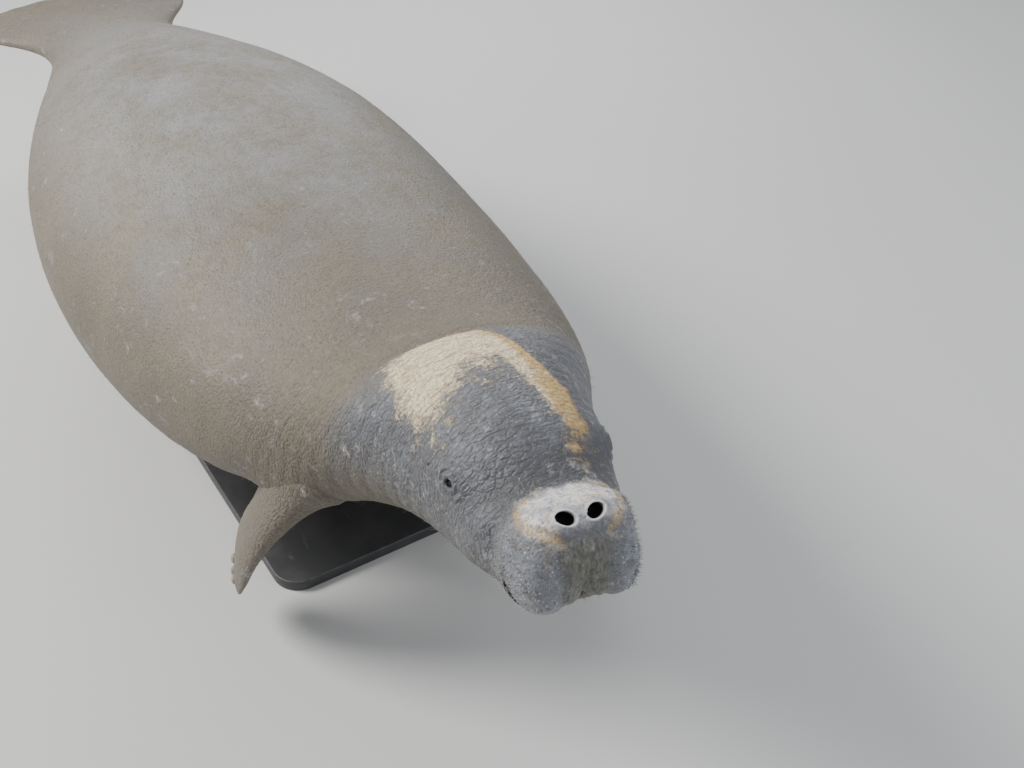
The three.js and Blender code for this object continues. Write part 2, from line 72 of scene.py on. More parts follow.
HEAD_ROWS = [
    (90, -107, 90, 0, -107, 90, -107, 2.0, 4),
    (82, -105.5, 93, 48, -113, 82, -107.5, 2.1, 4),
    (50, -104.5, 100, 77, -120, 54, -107.5, 2.2, 5),
    (24, -105, 103, 87, -122.5, 40, -109.5, 2.3, 6),
    (8, -100, 101, 94, -119, 33, -116, 2.4, 6),
    (0, -82, 96, 100, -109, 34, -126, 2.5, 6),
    (-3, -52, 90, 104, -96, 40, -136, 2.5, 6),
    (0, -18, 86, 107, -81, 50, -145, 2.5, 6),
    (8, 14, 86, 108, -67, 62, -153, 2.5, 6),
    (20, 41, 90, 109, -57, 78, -161, 2.5, 6),
    (38, 58, 100, 111, -52, 94, -168, 2.5, 6),
    (62, 64, 115, 115, -51, 112, -175, 2.4, 5),
    (86, 58, 135, 121, -54, 131, -182, 2.4, 5),
    (106, 44, 158, 129, -59, 152, -190, 2.3, 4),
    (134, 37, 184, 136, -65, 174, -199, 2.3, 4),
    (172, 46, 212, 143, -70, 200, -210, 2.3, 4),
    (220, 70, 246, 152, -76, 236, -224, 2.3, 3),
    (282, 88, 292, 164, -80, 286, -242, 2.25, 2),
]

# Outline of neck, body and tail: distance from the snout, half width, back and belly

BODY_ROWS = [
    (346, 176, 94, -262),
    (404, 197, 92, -284),
    (468, 225, 82, -312),
    (540, 264, 56, -346),
    (622, 308, 8, -390),
    (714, 354, -30, -444),
    (832, 404, -42, -508),
    (980, 452, -38, -578),
    (1170, 496, -24, -644),
    (1390, 528, -4, -692),
    (1630, 546, 16, -712),
    (1870, 541, 28, -700),
    (2090, 506, 18, -652),
    (2290, 444, -10, -576),
    (2470, 368, -44, -488),
    (2630, 294, -78, -404),
    (2760, 238, -108, -340),
    (2860, 210, -132, -299),
    (2955, 220, -152, -274),
    (3045, 268, -170, -262),
    (3135, 326, -188, -261),
    (3225, 364, -204, -266),
    (3308, 374, -220, -274),
    (3386, 358, -234, -282),
    (3456, 318, -246, -288),
    (3512, 254, -255, -292),
    (3550, 172, -262, -295),
    (3570, 86, -266, -297),
    (3575, 0, -281, -281),
]

# Soft forms of the head, alike on both sides: centre, reach and push along u, v and h

FORMS = {
    "lip_pad": ((46, 80, -65), (58, 44, 50), (-8, 7, -10)),
    "cleft": ((0, 0, -85), (42, 13, 44), (9, 0, 6)),
    "crease": ((118, 112, -18), (18, 46, 60), (0, -9, -4)),
    "cheek": ((178, 134, -102), (44, 54, 40), (0, 9, -5)),
    "brow_mound": ((236, 143, 6), (40, 40, 34), (0, 8, 4)),
    "nostril_mound": ((38, 25, 60), (24, 20, 30), (0, 3, 7)),
    "temple": ((168, 106, 35), (36, 46, 40), (0, -6, -5)),
    "throat_fold": ((330, 0, -264), (16, 120, 30), (0, 0, 9)),
    "nape_fold": ((606, 0, 4), (20, 190, 60), (0, 0, -9)),
}

# Rings of the skin: from which row to which, and how many

RING_BANDS = [
    (0.0, 5.0, 28),
    (5.0, 8.4, 32),
    (8.4, 9.2, 12),
    (9.2, 10.9, 44),
    (10.9, 14.0, 28),
    (14.0, 15.0, 12),
    (15.0, 17.0, 46),
    (17.0, 19.0, 38),
    (19.0, 22.0, 54),
    (22.0, 24.0, 28),
    (24.0, 33.0, 88),
    (33.0, 37.0, 32),
    (37.0, 43.0, 36),
    (43.0, 46.0, 16),
]
AROUND = 180

MAP_NAME = "OFBake"
MAP_WINDOWS = {"body": (0, 0, 0.8, 1), 1: (0.81, 0, 0.09, 1), -1: (0.905, 0, 0.09, 1)}

NOSTRIL = {"u": 40.0, "v": 25.0, "across": 16.0, "long": 11.5, "depth": 34.0, "turn": 0.5}
EYE = {"u": 236.0, "h": 0.0, "radius": 12.0, "behind": 13.46, "long": 8.2, "high": 5.8}
EYE_BULGE = 0.5
PUPIL = (2.9, 3.5)
IRIS = 7.4
EAR = {"u": 306.0, "h": -14.0}

# Edge of the pale dome round the nostrils, from the middle of the bridge round the side
# to the front: u, distance from the middle line, h
DOME_EDGE = [
    (132, 0, 38),
    (128, 46, 37),
    (115, 77, 26),
    (91, 84, 34),
    (59, 79, 42),
    (35, 62, 43),
    (20, 38, 36),
]
DOME_SIDE = DOME_EDGE[2:]

# Flipper: middle (u, v, h), half width and half thickness, from inside the shoulder to
# the tip

FLIPPER_ROWS = [
    (686, 226, -280, 62, 46),
    (704, 268, -314, 66, 44),
    (724, 308, -354, 70, 39),
    (750, 350, -406, 75, 33),
    (780, 385, -468, 82, 27),
    (810, 411, -534, 88, 21),
    (838, 427, -602, 86, 16),
    (862, 436, -662, 71, 12),
    (878, 440, -702, 43, 8),
    (885, 441, -717, 0, 0),
]
FLIPPER_ROOT = 2
FLIPPER_RINGS = 66
FLIPPER_AROUND = 44
ROOT_BLEND = 78.0

NAIL_PLACES = [(-0.46, 7.35), (-0.02, 7.55), (0.4, 7.25)]
NAIL_SIZE = (15.0, 11.0, 7.0)
NAIL_FREE_EDGE = 0.12
NAIL_RIDGES = 0.03

STAND = {
    "length": 1500.0,
    "width": 680.0,
    "thick": 30.0,
    "corner": 70.0,
    "bevel": 4.0,
    "rod_spacing": 960.0,
    "rod_radius": 24.0,
    "rod_into_skin": 9.0,
    "collar_radius": 62.0,
    "collar_height": 12.0,
    "collar_round": 3.0,
    "cove": 2.5,
    "gap": 0.3,
}

# Hairs: radius at the root, how far they lean back, and the seed of their random draws

HAIR_STEPS = 3
HAIR_SIDES = 3
HAIR_PATCH = 0.003
BRISTLE = {"radius": 0.00048, "lean": 0.25, "seed": 5}
BODY_HAIR = {"radius": 0.00026, "lean": 0.8, "seed": 6}

# Studio: lights by name, place, size, power and colour, and the camera as fitted, with its
# place in metres, its yaw, downward pitch and roll in degrees, and its lens in picture widths

LIGHTS = [
    ("key", (-1.9, -3.4, 4.2), 2.4, 420, (1.0, 0.985, 0.95)),
    ("fill", (4.2, 2.2, 3.2), 3.0, 70, (0.93, 0.96, 1.0)),
    ("rim", (-3.2, 2.8, 3.0), 2.6, 90, (1.0, 1.0, 1.0)),
]
LIGHTS_AIM = (0.3, 0.0, 0.6)
SKY = ((0.88, 0.91, 0.96, 1), 0.5)
FLOOR_REACH = 40.0
CAMERA = {"place": (2.563, -0.889, 2.107), "turns": (146.904, 38.451, 0.703)}
SENSOR = 36.0
LENS_IN_WIDTHS = 1150 / 1024

FLESH = [
    "muzzle",
    "head",
    "lower_jaw",
    "neck",
    "chest",
    "belly",
    "rump",
    "tail_stock",
    "tail_paddle",
    "flipper_left",
    "flipper_right",
]


# Arithmetic on whole arrays


def rise(value, low, high):
    """A smooth step from 0 at low to 1 at high: 3x^2 - 2x^3 of the share x between them."""
    share = np.clip((value - low) / (high - low), 0.0, 1.0)
    return share * share * (3.0 - 2.0 * share)


def bell(value, middle, width):
    """A bell round the middle: e to the power of minus the square of distance over width."""
    return np.exp(-(((value - middle) / width) ** 2))


def steered(rows, place):
    """A uniform cubic B-spline, which control rows steer and mirrored rows pin at its ends."""
    table = np.asarray(rows, float)
    table = np.vstack([2 * table[0] - table[1], table, 2 * table[-1] - table[-2]])
    place = np.asarray(place, float)
    cell = np.clip(np.floor(place).astype(int), 0, len(rows) - 2)
    f = (place - cell)[..., None]
    weights = [
        (1 - f) ** 3 / 6,
        (3 * f**3 - 6 * f**2 + 4) / 6,
        (-3 * f**3 + 3 * f**2 + 3 * f + 1) / 6,
        f**3 / 6,
    ]
    return sum(weight * table[cell + k] for k, weight in enumerate(weights))


def lattice(cells, seed):
    """One repeatable number from -1 to 1 for each whole cell, from mixed integer products."""
    x, y, z = (cells[..., k].astype(np.int64) for k in range(3))
    n = (x * 73856093) ^ (y * 19349663) ^ (z * 83492791) ^ (seed * 1274126177)
    n = ((n ^ (n >> 13)) * 1103515245) & 0xFFFFFFFF
    n = ((n ^ (n >> 15)) * 668265263) & 0xFFFFFFFF
    return ((n >> 8) & 0xFFFF) / 32767.5 - 1.0


def cloud(points, size, seed):
    """Soft noise from -1 to 1: lattice numbers blended by smooth steps between cells."""
    scaled = points / size
    cells = np.floor(scaled)
    f = scaled - cells
    f = f * f * (3.0 - 2.0 * f)
    total = 0.0
    for corner in np.ndindex(2, 2, 2):
        share = np.prod([f[..., k] if c else 1 - f[..., k] for k, c in enumerate(corner)], axis=0)
        total = total + share * lattice(cells + np.array(corner), seed)
    return total


def unit(vectors):
    """Vectors divided by their own length."""
    return vectors / np.maximum(np.linalg.norm(vectors, axis=-1, keepdims=True), 1e-12)


def rolls(turn, sharp):
    """Soft rolls between sharp creases: |sin(turn)|^sharp - 0.8."""
    return np.abs(np.sin(turn)) ** sharp - 0.8


def mirrored(points, side):
    """The same points on the animal's left (1) or right (-1)."""
    return points * np.array([1.0, side, 1.0])


def to_the_left(points):
    """The same points, with those of the right side mirrored onto the left."""
    return points * np.where(points[..., 1:2] < 0, [1.0, -1.0, 1.0], 1.0)


# The body, straight


def body_ring(row):
    """A body row as a head row: one distance all round, its side at the widest level."""
    u, half, back, belly = row
    return (u, back, u, half, back + (belly - back) * WIDEST_LEVEL, u, belly, 2.12, 2.0)


ROWS = HEAD_ROWS + [body_ring(row) for row in BODY_ROWS]
LAST_ROW = len(ROWS) - 1


def plain_skin(place, angle):
    """A ring round the mouth or body: a superellipse through its side, top and bottom.

    v = side v * sign(cos) * |cos|^(2/square), h = side h + (end h - side h) * |sin|^(2/square)
    and u = end u + (side u - end u) * |cos|^blunt.
    """
    top_u, top_h, side_u, side_v, side_h, low_u, low_h, square, blunt = np.moveaxis(
        steered(ROWS, place), -1, 0
    )
    across, up = np.cos(angle), np.sin(angle)
    end_u = np.where(up >= 0, top_u, low_u)
    end_h = np.where(up >= 0, top_h, low_h)
    return np.stack(
        [
            end_u + (side_u - end_u) * np.abs(across) ** blunt,
            side_v * np.sign(across) * np.abs(across) ** (2 / square),
            side_h + (end_h - side_h) * np.abs(up) ** (2 / square),
        ],
        axis=-1,
    )


def formed(points):
    """Adds each soft form: push times e^-(squared distance over reach), on both sides."""
    side = np.sign(points[..., 1])
    one_side = to_the_left(points)
    moved = points.copy()
    for at, reach, push in FORMS.values():
        away = (((one_side - np.array(at)) / np.array(reach)) ** 2).sum(axis=-1)
        share = np.exp(-away)
        moved[..., 0] += share * push[0]
        moved[..., 1] += share * push[1] * side
        moved[..., 2] += share * push[2]
    return moved


def skin_point(place, angle):
    """The skin with its soft forms at one place along the rows and one angle."""
    return formed(plain_skin(np.array([place]), np.array([angle])))[0]


def on_skin(axes, wanted, guess):
    """Where two measures of the skin have the wanted values: Newton's steps from a guess.

    Returns the point, the outward direction there, and the angle.
    """
    place, angle = guess
    tiny = 1e-4
    for _ in range(30):
        here = skin_point(place, angle)
        slope = np.stack(
            [
                (skin_point(place + tiny, angle) - here)[axes] / tiny,
                (skin_point(place, angle + tiny) - here)[axes] / tiny,
            ],
            axis=1,
        )
        step = np.linalg.solve(slope, np.array(wanted) - here[axes])
        place += float(np.clip(step[0], -0.5, 0.5))
        angle += float(np.clip(step[1], -0.2, 0.2))
    here = skin_point(place, angle)
    along = skin_point(place + tiny, angle) - here
    around = skin_point(place, angle + tiny) - here
    return here, unit(np.cross(around, along)), angle


NOSTRIL_AT, NOSTRIL_OUT, NOSTRIL_ANGLE = on_skin([0, 1], (NOSTRIL["u"], NOSTRIL["v"]), (10.0, 1.3))
EYE_AT, EYE_OUT, EYE_ANGLE = on_skin([0, 2], (EYE["u"], EYE["h"]), (16.0, 0.5))
EAR_AT, EAR_OUT, _ = on_skin([0, 2], (EAR["u"], EAR["h"]), (17.3, 0.4))


def ring_places():
    """Places of the rings along the rows, evenly spaced within each band."""
    bands = [np.linspace(a, b, n, endpoint=False) for a, b, n in RING_BANDS]
    return np.concatenate(bands)[1:]


def ring_angles():
    """Angles round a ring, closer where the back, nostrils and eyes are.

    The density is 0.7 plus a bell over the back and one at each eye and nostril. Angles
    are read off its running sum, so they lie alike on both sides.
    """
    fine = np.linspace(-math.pi / 2, 1.5 * math.pi, 20001)
    density = 0.7 + 0.8 * bell(fine, math.pi / 2, 0.6)
    for middle, width, more in ((NOSTRIL_ANGLE, 0.1, 3.0), (EYE_ANGLE, 0.12, 2.0)):
        density += more * (bell(fine, middle, width) + bell(fine, math.pi - middle, width))
    total = np.concatenate([[0], np.cumsum((density[1:] + density[:-1]) / 2)])
    return np.interp(np.arange(AROUND) / AROUND, total / total[-1], fine)


def grid_normals(points):
    """Outward directions of a closed grid: the cross product of its two local slopes."""
    around = np.roll(points, -1, axis=1) - np.roll(points, 1, axis=1)
    along = np.gradient(points, axis=0)
    return unit(np.cross(around, along))


def folds(points, direction, spacing, seed):
    """Rolls across a direction, with their creases one spacing apart: turn = pi w / spacing.

    w is the place along the direction plus noise, so the creases wander and fork.
    """
    warp = cloud(points, 4.5 * spacing, seed) + 0.4 * cloud(points, 1.7 * spacing, seed + 1)
    warped = points @ np.array(direction, float) + 0.5 * spacing * warp
    return rolls(math.pi * warped / spacing, 0.55)


def from_line(points, line):
    """Distance of each point, folded to one side, from a line of straight stretches."""
    one_side = to_the_left(points)
    line = np.array(line, float)
    best = np.full(points.shape[:-1], 1e6)
    for start, end in zip(line[:-1], line[1:]):
        way = end - start
        share = np.clip((one_side - start) @ way / (way @ way), 0, 1)
        best = np.minimum(best, np.linalg.norm(one_side - start - share[..., None] * way, axis=-1))
    return best


# Numbers in the next functions are places, reaches and heights in millimetres


def body_relief(points, angle):
    """Folds and unevenness of neck, flanks and tail, outwards.

    Each part's height is its window, a product of smooth steps, times rolls or noise.
    """
    u, v, h = np.moveaxis(points, -1, 0)
    below = rise(-np.sin(angle), -0.35, 0.7)
    beside = rise(np.abs(np.cos(angle)), 0.35, 0.95)
    on_body = rise(u, 480, 900)
    neck = rise(u, 262, 350) * (1 - rise(u, 660, 900))
    stock = rise(u, 2640, 2790) * (1 - rise(u, 2950, 3050))
    flank = rise(u, 820, 960) * (1 - rise(u, 1150, 1500)) * rise(-h, 150, 300)
    height = neck * (0.3 + 2.8 * below + 1.7 * beside) * folds(points, (1, 0, 0.28), 36, 11)
    height += stock * (0.8 + 2.2 * beside) * folds(points, (1, 0, 0), 42, 21)
    height += 1.7 * flank * folds(points, (1, 0, 0.5), 74, 41)
    height += on_body * (2.8 * cloud(points, 240, 3) + 1.3 * cloud(points, 95, 4))
    veins = np.sin(v / 17 + 2.5 * cloud(points, 120, 8))
    return height + 0.9 * veins * rise(u, 3100, 3500)


def head_relief(points, angle):
    """Wrinkles, lip creases and unevenness of the head, outwards.

    Windows times rolls or noise as on the body, then a furrow round the dome's side, the
    cleft between the lip pads, the pads' bulge and the edge of the upper lip as bells.
    """
    u, v, h = np.moveaxis(points, -1, 0)
    side = np.abs(v)
    below = rise(-np.sin(angle), -0.35, 0.7)
    on_head = 1 - rise(u, 480, 900)
    bridge = rise(u, 112, 128) * (1 - rise(u, 200, 240)) * rise(h, -30, 20)
    crown = rise(u, 190, 260) * (1 - rise(u, 560, 680)) * rise(h, -60, 10)
    pad = (1 - rise(u, 74, 112)) * rise(side, 26, 56) * (1 - rise(h, 4, 34)) * rise(h, -118, -100)
    chin = (1 - rise(u, 150, 230)) * (1 - rise(h, -128, -118))
    jowl = rise(u, 112, 130) * (1 - rise(u, 190, 240)) * rise(side, 80, 110) * rise(-h, 10, 60)
    throat = rise(u, 150, 210) * (1 - rise(u, 330, 420)) * below
    height = 1.0 * bridge * folds(points, (1, 0, 0.15), 13, 51)
    height += 0.9 * crown * folds(points, (1, 0, 0.1), 19, 61)
    height += 1.5 * pad * folds(points, (0.25, 0, 1), 19, 71)
    height += 1.1 * chin * folds(points, (1, 0, 0.2), 15, 81)
    height += 2.0 * jowl * folds(points, (1, 0, 0.55), 23, 91)
    height += 1.6 * throat * folds(points, (1, 0, 0.4), 21, 31)
    height += on_head * (0.7 * cloud(points, 42, 5) + 0.4 * cloud(points, 17, 6))
    height += 0.5 * pad * cloud(points, 6.5, 7)
    furrow = from_line(points, DOME_SIDE)
    height += 1.6 * bell(furrow, 11, 9) * rise(h, 30, 40) - 3.6 * bell(furrow, 0, 6.5)
    front = (1 - rise(u, 30, 66)) * rise(h, -114, -98)
    cleft = front * (1 - rise(h, -30, 10))
    height -= cleft * (4.5 * bell(side, 0, 6) + 1.2 * bell(side, 19, 5))
    height -= 2.8 * front * (1 - rise(h, 6, 30)) * bell(side - 0.12 * h, 48, 8)
    lobe = bell(side, 78, 26) * bell(h, -52, 52) * (1 - rise(u, 62, 112))
    lip = bell(h, -103, 6) * (1 - rise(u, 84, 112)) * rise(side, 18, 50)
    return height + 3.4 * lobe + 1.6 * lip


def relief(points, angle, depth):
    """Height of folds and unevenness over the skin, outwards: both parts times the depth."""
    return (body_relief(points, angle) + head_relief(points, angle)) * depth


def local_frame(out):
    """Two directions along the skin, back and upwards, beside the outward one."""
    back = unit(np.array([1.0, 0.0, 0.0]) - out * out[0])
    return back, unit(np.cross(out, back)), out


def seen_from(points, at, out, reach):
    """Measures of points from a place on either side, and the share that it reaches."""
    side = np.where(points[..., 1:2] < 0, -1.0, 1.0)
    mirror = np.concatenate([np.ones_like(side), side, np.ones_like(side)], axis=-1)
    back, up, _ = local_frame(out)
    away = points * mirror - at
    measures = [away @ back, away @ up, away @ out]
    near = 1 - rise(np.linalg.norm(away, axis=-1), 0.7 * reach, reach)
    return measures, near, mirror


def with_nostrils(points):
    """Sinks an oval pit at each nostril and lifts a soft rim round it.

    With r the oval distance, 1 at the edge: the floor sinks as 1 - r^2.6, leaning back,
    while the walls widen as sin(pi r). The rim is a bell at 1.2 and a wider one at 1.75.
    """
    (x, y, _), near, mirror = seen_from(points, NOSTRIL_AT, NOSTRIL_OUT, 55)
    back, up, out = local_frame(NOSTRIL_OUT)
    turn = NOSTRIL["turn"]
    along = x * math.cos(turn) - y * math.sin(turn)
    across = x * math.sin(turn) + y * math.cos(turn)
    r = np.hypot(along / NOSTRIL["long"], across / NOSTRIL["across"])
    inside = np.clip(1 - r, 0, 1)
    sink = NOSTRIL["depth"] * (1 - (1 - inside) ** 2.6)
    rim = 1.9 * bell(r, 1.2, 0.17) + 0.9 * bell(r, 1.75, 0.45)
    inwards = unit(-0.95 * out + 0.25 * back)
    shift = (sink * near)[..., None] * inwards + (rim * near)[..., None] * out
    spread = (0.3 * np.sin(math.pi * np.clip(r, 0, 1)) * near)[..., None]
    shift = shift + spread * (x[..., None] * back + y[..., None] * up)
    return points + shift * mirror, r, near


def with_eyelids(points):
    """Raises two round lids over each eye and opens an almond slit between them.

    With r the oval distance, 1 at the lid's edge: a mound at 1.7, a furrow at 2.9, a fold
    at 3.8, a furrow at 4.9, fine spokes between, and a pocket 15 deep inside the slit.
    """
    (x, y, _), near, mirror = seen_from(points, EYE_AT, EYE_OUT, 62)
    r = np.hypot(x / EYE["long"], y / EYE["high"])
    spokes = np.sin(15 * np.arctan2(y, x) + 3 * cloud(points, 12, 9))
    height = 3.6 * bell(r, 1.7, 0.62) - 1.9 * bell(r, 2.9, 0.4) + 1.7 * bell(r, 3.8, 0.6)
    height += -1.3 * bell(r, 4.9, 0.4) + 0.6 * spokes * bell(r, 3.4, 1.4)
    height -= 15.0 * (1 - rise(r, 0.5, 1.12))
    shift = (height * near)[..., None] * EYE_OUT
    return points + shift * mirror, r, near


def with_ears(points):
    """Dents the skin at each ear: a bell 2.6 deep and 3.2 wide in a ring 0.7 high at 7.5."""
    (x, y, _), near, mirror = seen_from(points, EAR_AT, EAR_OUT, 24)
    r = np.hypot(x, y)
    height = 0.7 * bell(r, 7.5, 3.0) - 2.6 * bell(r, 0, 3.2)
    return points + ((height * near)[..., None] * EAR_OUT) * mirror, r, near


# Flippers


def flipper_frame(place):
    """The flipper along its rows: middle, chord, through, half sizes and the way along.

    The chord is (-1, 0.25, 0) made square to the way along, and through is their cross
    product.
    """
    last = len(FLIPPER_ROWS) - 1
    here = steered(FLIPPER_ROWS, place)
    ahead = steered(FLIPPER_ROWS, np.minimum(place + 0.01, last))
    behind = steered(FLIPPER_ROWS, np.maximum(place - 0.01, 0))
    along = unit(ahead[..., :3] - behind[..., :3])
    chord = np.broadcast_to(np.array([-1, 0.25, 0.0]), along.shape)
    chord = unit(chord - along * (chord * along).sum(axis=-1, keepdims=True))
    through = unit(np.cross(along, chord))
    return here[..., :3], chord, through, here[..., 3], here[..., 4], along


def outside_flipper(points):
    """Rough distance from the left flipper's surface, along the ray from its middle.

    The flipper is taken as thick slices, and the distance is the least over all of them.
    """
    place = np.linspace(0, 8.2, 42)
    half_slice = 9
    middle, chord, through, wide, thick, along = flipper_frame(place)
    best = np.full(points.shape[:-1], 1e6)
    for k in range(len(place)):
        away = points - middle[k]
        a, b, c = away @ chord[k], away @ through[k], away @ along[k]
        ratio = np.maximum(np.hypot(a / wide[k], b / thick[k]), 1e-3)
        flat = np.hypot(a, b) * (1 - 1 / ratio)
        beyond = np.maximum(np.abs(c) - half_slice, 0)
        best = np.minimum(best, np.where(flat > 0, np.hypot(flat, beyond), flat + beyond))
    return best


def outside_body(points):
    """Rough distance from the body's ring at the same u, along the ray from its middle."""
    places = np.linspace(len(HEAD_ROWS), LAST_ROW, 1200)
    table = steered(ROWS, places)
    row = [np.interp(points[..., 0], table[:, 0], table[:, k]) for k in (1, 3, 4, 6, 7)]
    back, half, side, belly, square = row
    away_h = points[..., 2] - side
    reach = np.where(away_h > 0, back - side, side - belly)
    v = np.abs(points[..., 1])
    ratio = ((v / half) ** square + (np.abs(away_h) / reach) ** square) ** (1 / square)
    return np.hypot(v, away_h) * (1 - 1 / np.maximum(ratio, 1e-3))


def root_lift(away):
    """How far skin rises beside another part, so that they run together: (k - d)^2 / 4k.

    d is the distance from that part and k the blend, beyond which nothing rises.
    """
    return np.maximum(ROOT_BLEND - np.maximum(away, 0), 0) ** 2 / (4 * ROOT_BLEND)


def flipper_grid(depth):
    """The left flipper: ellipses along its path, with folds at shoulder and wrist.

    Two grooves along each face of the blade, from cos(5 angle), part the fingers.
    """
    last = len(FLIPPER_ROWS) - 1
    share = np.linspace(0, 1, FLIPPER_RINGS + 1)[:-1]
    place = last * (1 - (1 - share) ** 1.25)
    angle = 2 * math.pi * np.arange(FLIPPER_AROUND) / FLIPPER_AROUND
    middle, chord, through, wide, thick, _ = (
        part[:, None] if part.ndim == 1 else part[:, None, :] for part in flipper_frame(place)
    )
    across, out = np.cos(angle)[None, :, None], np.sin(angle)[None, :, None]
    edge = 1 + 0.16 * across
    points = middle + chord * wide[..., None] * across + through * thick[..., None] * out * edge
    normal = unit(
        chord * across / np.maximum(wide[..., None], 1) + through * out / np.maximum(thick[..., None], 1)
    )
    lift = root_lift(outside_body(points))
    wrist = bell(place[:, None], 4.6, 0.9) + 1.5 * bell(place[:, None], 2.9, 0.8)
    creases = rolls(math.pi * (place[:, None] * 3.1 + 0.35 * cloud(points, 60, 51)), 0.5)
    lift = lift + depth * (1.5 * wrist * creases + 0.8 * cloud(points, 34, 52))
    fingers = rise(place[:, None], 5.0, 6.5) * (1 - rise(place[:, None], 8.2, 8.9))
    lift = lift + 0.9 * fingers * np.cos(angle * 5)[None, :] * np.abs(np.sin(angle))[None, :]
    fade = (1 - rise(place[:, None], 8.3, 9.0)) * 0.9 + 0.1
    return points + normal * (lift * fade)[..., None]


# Pose


def posed(points):
    """Bends head and neck right about an upright axis and sets them in the row frame.

    The turn grows in step with the way forward from the shoulders, up to the whole turn.
    """
    u, v, h = np.moveaxis(points, -1, 0)
    forward = TURN_FROM - u
    radius = (TURN_FROM - TURN_TO) / HEAD_TURN
    angle = np.clip(forward / radius, 0, HEAD_TURN)
    straight = forward - angle * radius
    x = (radius + v) * np.sin(angle) + straight * np.cos(angle)
    y = (radius + v) * np.cos(angle) - straight * np.sin(angle) - radius
    return np.stack([SNOUT_TO_ORIGIN - TURN_FROM + x, y, REST_LEVEL + h], axis=-1) * MM


def posed_stiff(points, root):
    """Sets points in the row frame as one stiff piece, moved as its root is."""
    tiny = 1e-3
    here = posed(np.array(root, float))
    ahead = posed(np.array(root, float) + [tiny, 0, 0]) - here
    forward = -unit(ahead)
    left = np.array([-forward[1], forward[0], 0.0])
    away = (points - np.array(root)) * MM
    turned = -away[..., 0:1] * forward + away[..., 1:2] * left
    return here + turned + away[..., 2:3] * np.array([0, 0, 1.0])


# Meshes


def tube_faces(rings, around, first, flip=False):
    """Quads between rings that close on themselves, with a share of the way for each corner."""
    k, i = np.meshgrid(np.arange(rings - 1), np.arange(around), indexing="ij")
    j = (i + 1) % around
    corners = [k * around + i, k * around + j, (k + 1) * around + j, (k + 1) * around + i]
    faces = np.stack(corners, axis=-1).reshape(-1, 4) + first
    spread = np.stack([np.stack([i, k], -1), np.stack([i + 1, k], -1)], axis=2)
    further = np.stack([np.stack([i + 1, k + 1], -1), np.stack([i, k + 1], -1)], axis=2)
    uv = np.concatenate([spread, further], axis=2).reshape(-1, 4, 2) / [around, rings]
    return (faces[:, ::-1], uv[:, ::-1]) if flip else (faces, uv)


def fan_faces(pole, start, around, level, flip=False):
    """Triangles from a pole to a ring that closes on itself."""
    i = np.arange(around)
    faces = np.stack([np.full(around, pole), start + (i + 1) % around, start + i], axis=-1)
    middle = np.stack([(i + 0.5) / around, np.full(around, level[0])], -1)
    ends = [np.stack([(i + s) / around, np.full(around, level[1])], -1) for s in (1, 0)]
    uv = np.stack([middle, *ends], axis=1)
    return (faces[:, ::-1], uv[:, ::-1]) if flip else (faces, uv)


class Surface:
    """Points, faces and their flat map, gathered from grids before they become one mesh."""

    def __init__(self):
        self.points = []
        self.faces = []
        self.uv = []
        self.count = 0
        self.marks = {}

    def add(self, points, faces, uv, marks=None):
        """Takes in points, faces that count from those already here, and values by name."""
        flat = points.reshape(-1, 3)
        self.points.append(flat)
        for part, flat_part in zip(faces, uv):
            self.faces.extend(part.tolist())
            self.uv.append(flat_part.reshape(-1, 2))
        for name, values in (marks or {}).items():
            self.marks.setdefault(name, []).append(values)
        self.count += len(flat)

    def add_tube(self, grid, poles, flip=False, window=(0.0, 0.0, 1.0, 1.0), marks=None):
        """A closed tube: a grid of rings with a pole before the first and after the last."""
        rings, around = grid.shape[:2]
        first = self.count
        faces, uv = tube_faces(rings, around, first, flip)
        last = first + (rings - 1) * around
        start, start_uv = fan_faces(first + rings * around, first, around, (0, 0), flip)
        end, end_uv = fan_faces(first + rings * around + 1, last, around, (1, 1 - 1 / rings), not flip)
        parts = [part * window[2:] + window[:2] for part in (uv, start_uv, end_uv)]
        points = np.concatenate([grid.reshape(-1, 3), np.array(poles).reshape(-1, 3)])
        self.add(points, [faces, start, end], parts, marks)

    def mesh(self, name):
        """One smooth mesh, with its flat map and its marks as attributes."""
        data = bpy.data.meshes.new(name)
        data.from_pydata(np.concatenate(self.points), [], self.faces)
        layer = data.uv_layers.new(name=MAP_NAME)
        layer.data.foreach_set("uv", np.concatenate(self.uv).astype(np.float32).ravel())
        for mark, parts in self.marks.items():
            values = np.concatenate(parts).astype(np.float32)
            kind = "FLOAT_VECTOR" if values.ndim == 2 else "FLOAT"
            attribute = data.attributes.new(mark, kind, "POINT")
            attribute.data.foreach_set("vector" if values.ndim == 2 else "value", values.ravel())
        data.shade_smooth()
        data.update()
        return data


def add_piece(data, material, slot, *nodes):
    """Links a finished mesh as a piece of the model that rides on its body."""
    piece = bpy.data.objects.new(data.name, data)
    bpy.context.scene.collection.objects.link(piece)
    data.materials.append(material)
    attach(piece, "root")
    if nodes:
        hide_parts(*nodes)


# Markings of the skin, with places and reaches in millimetres


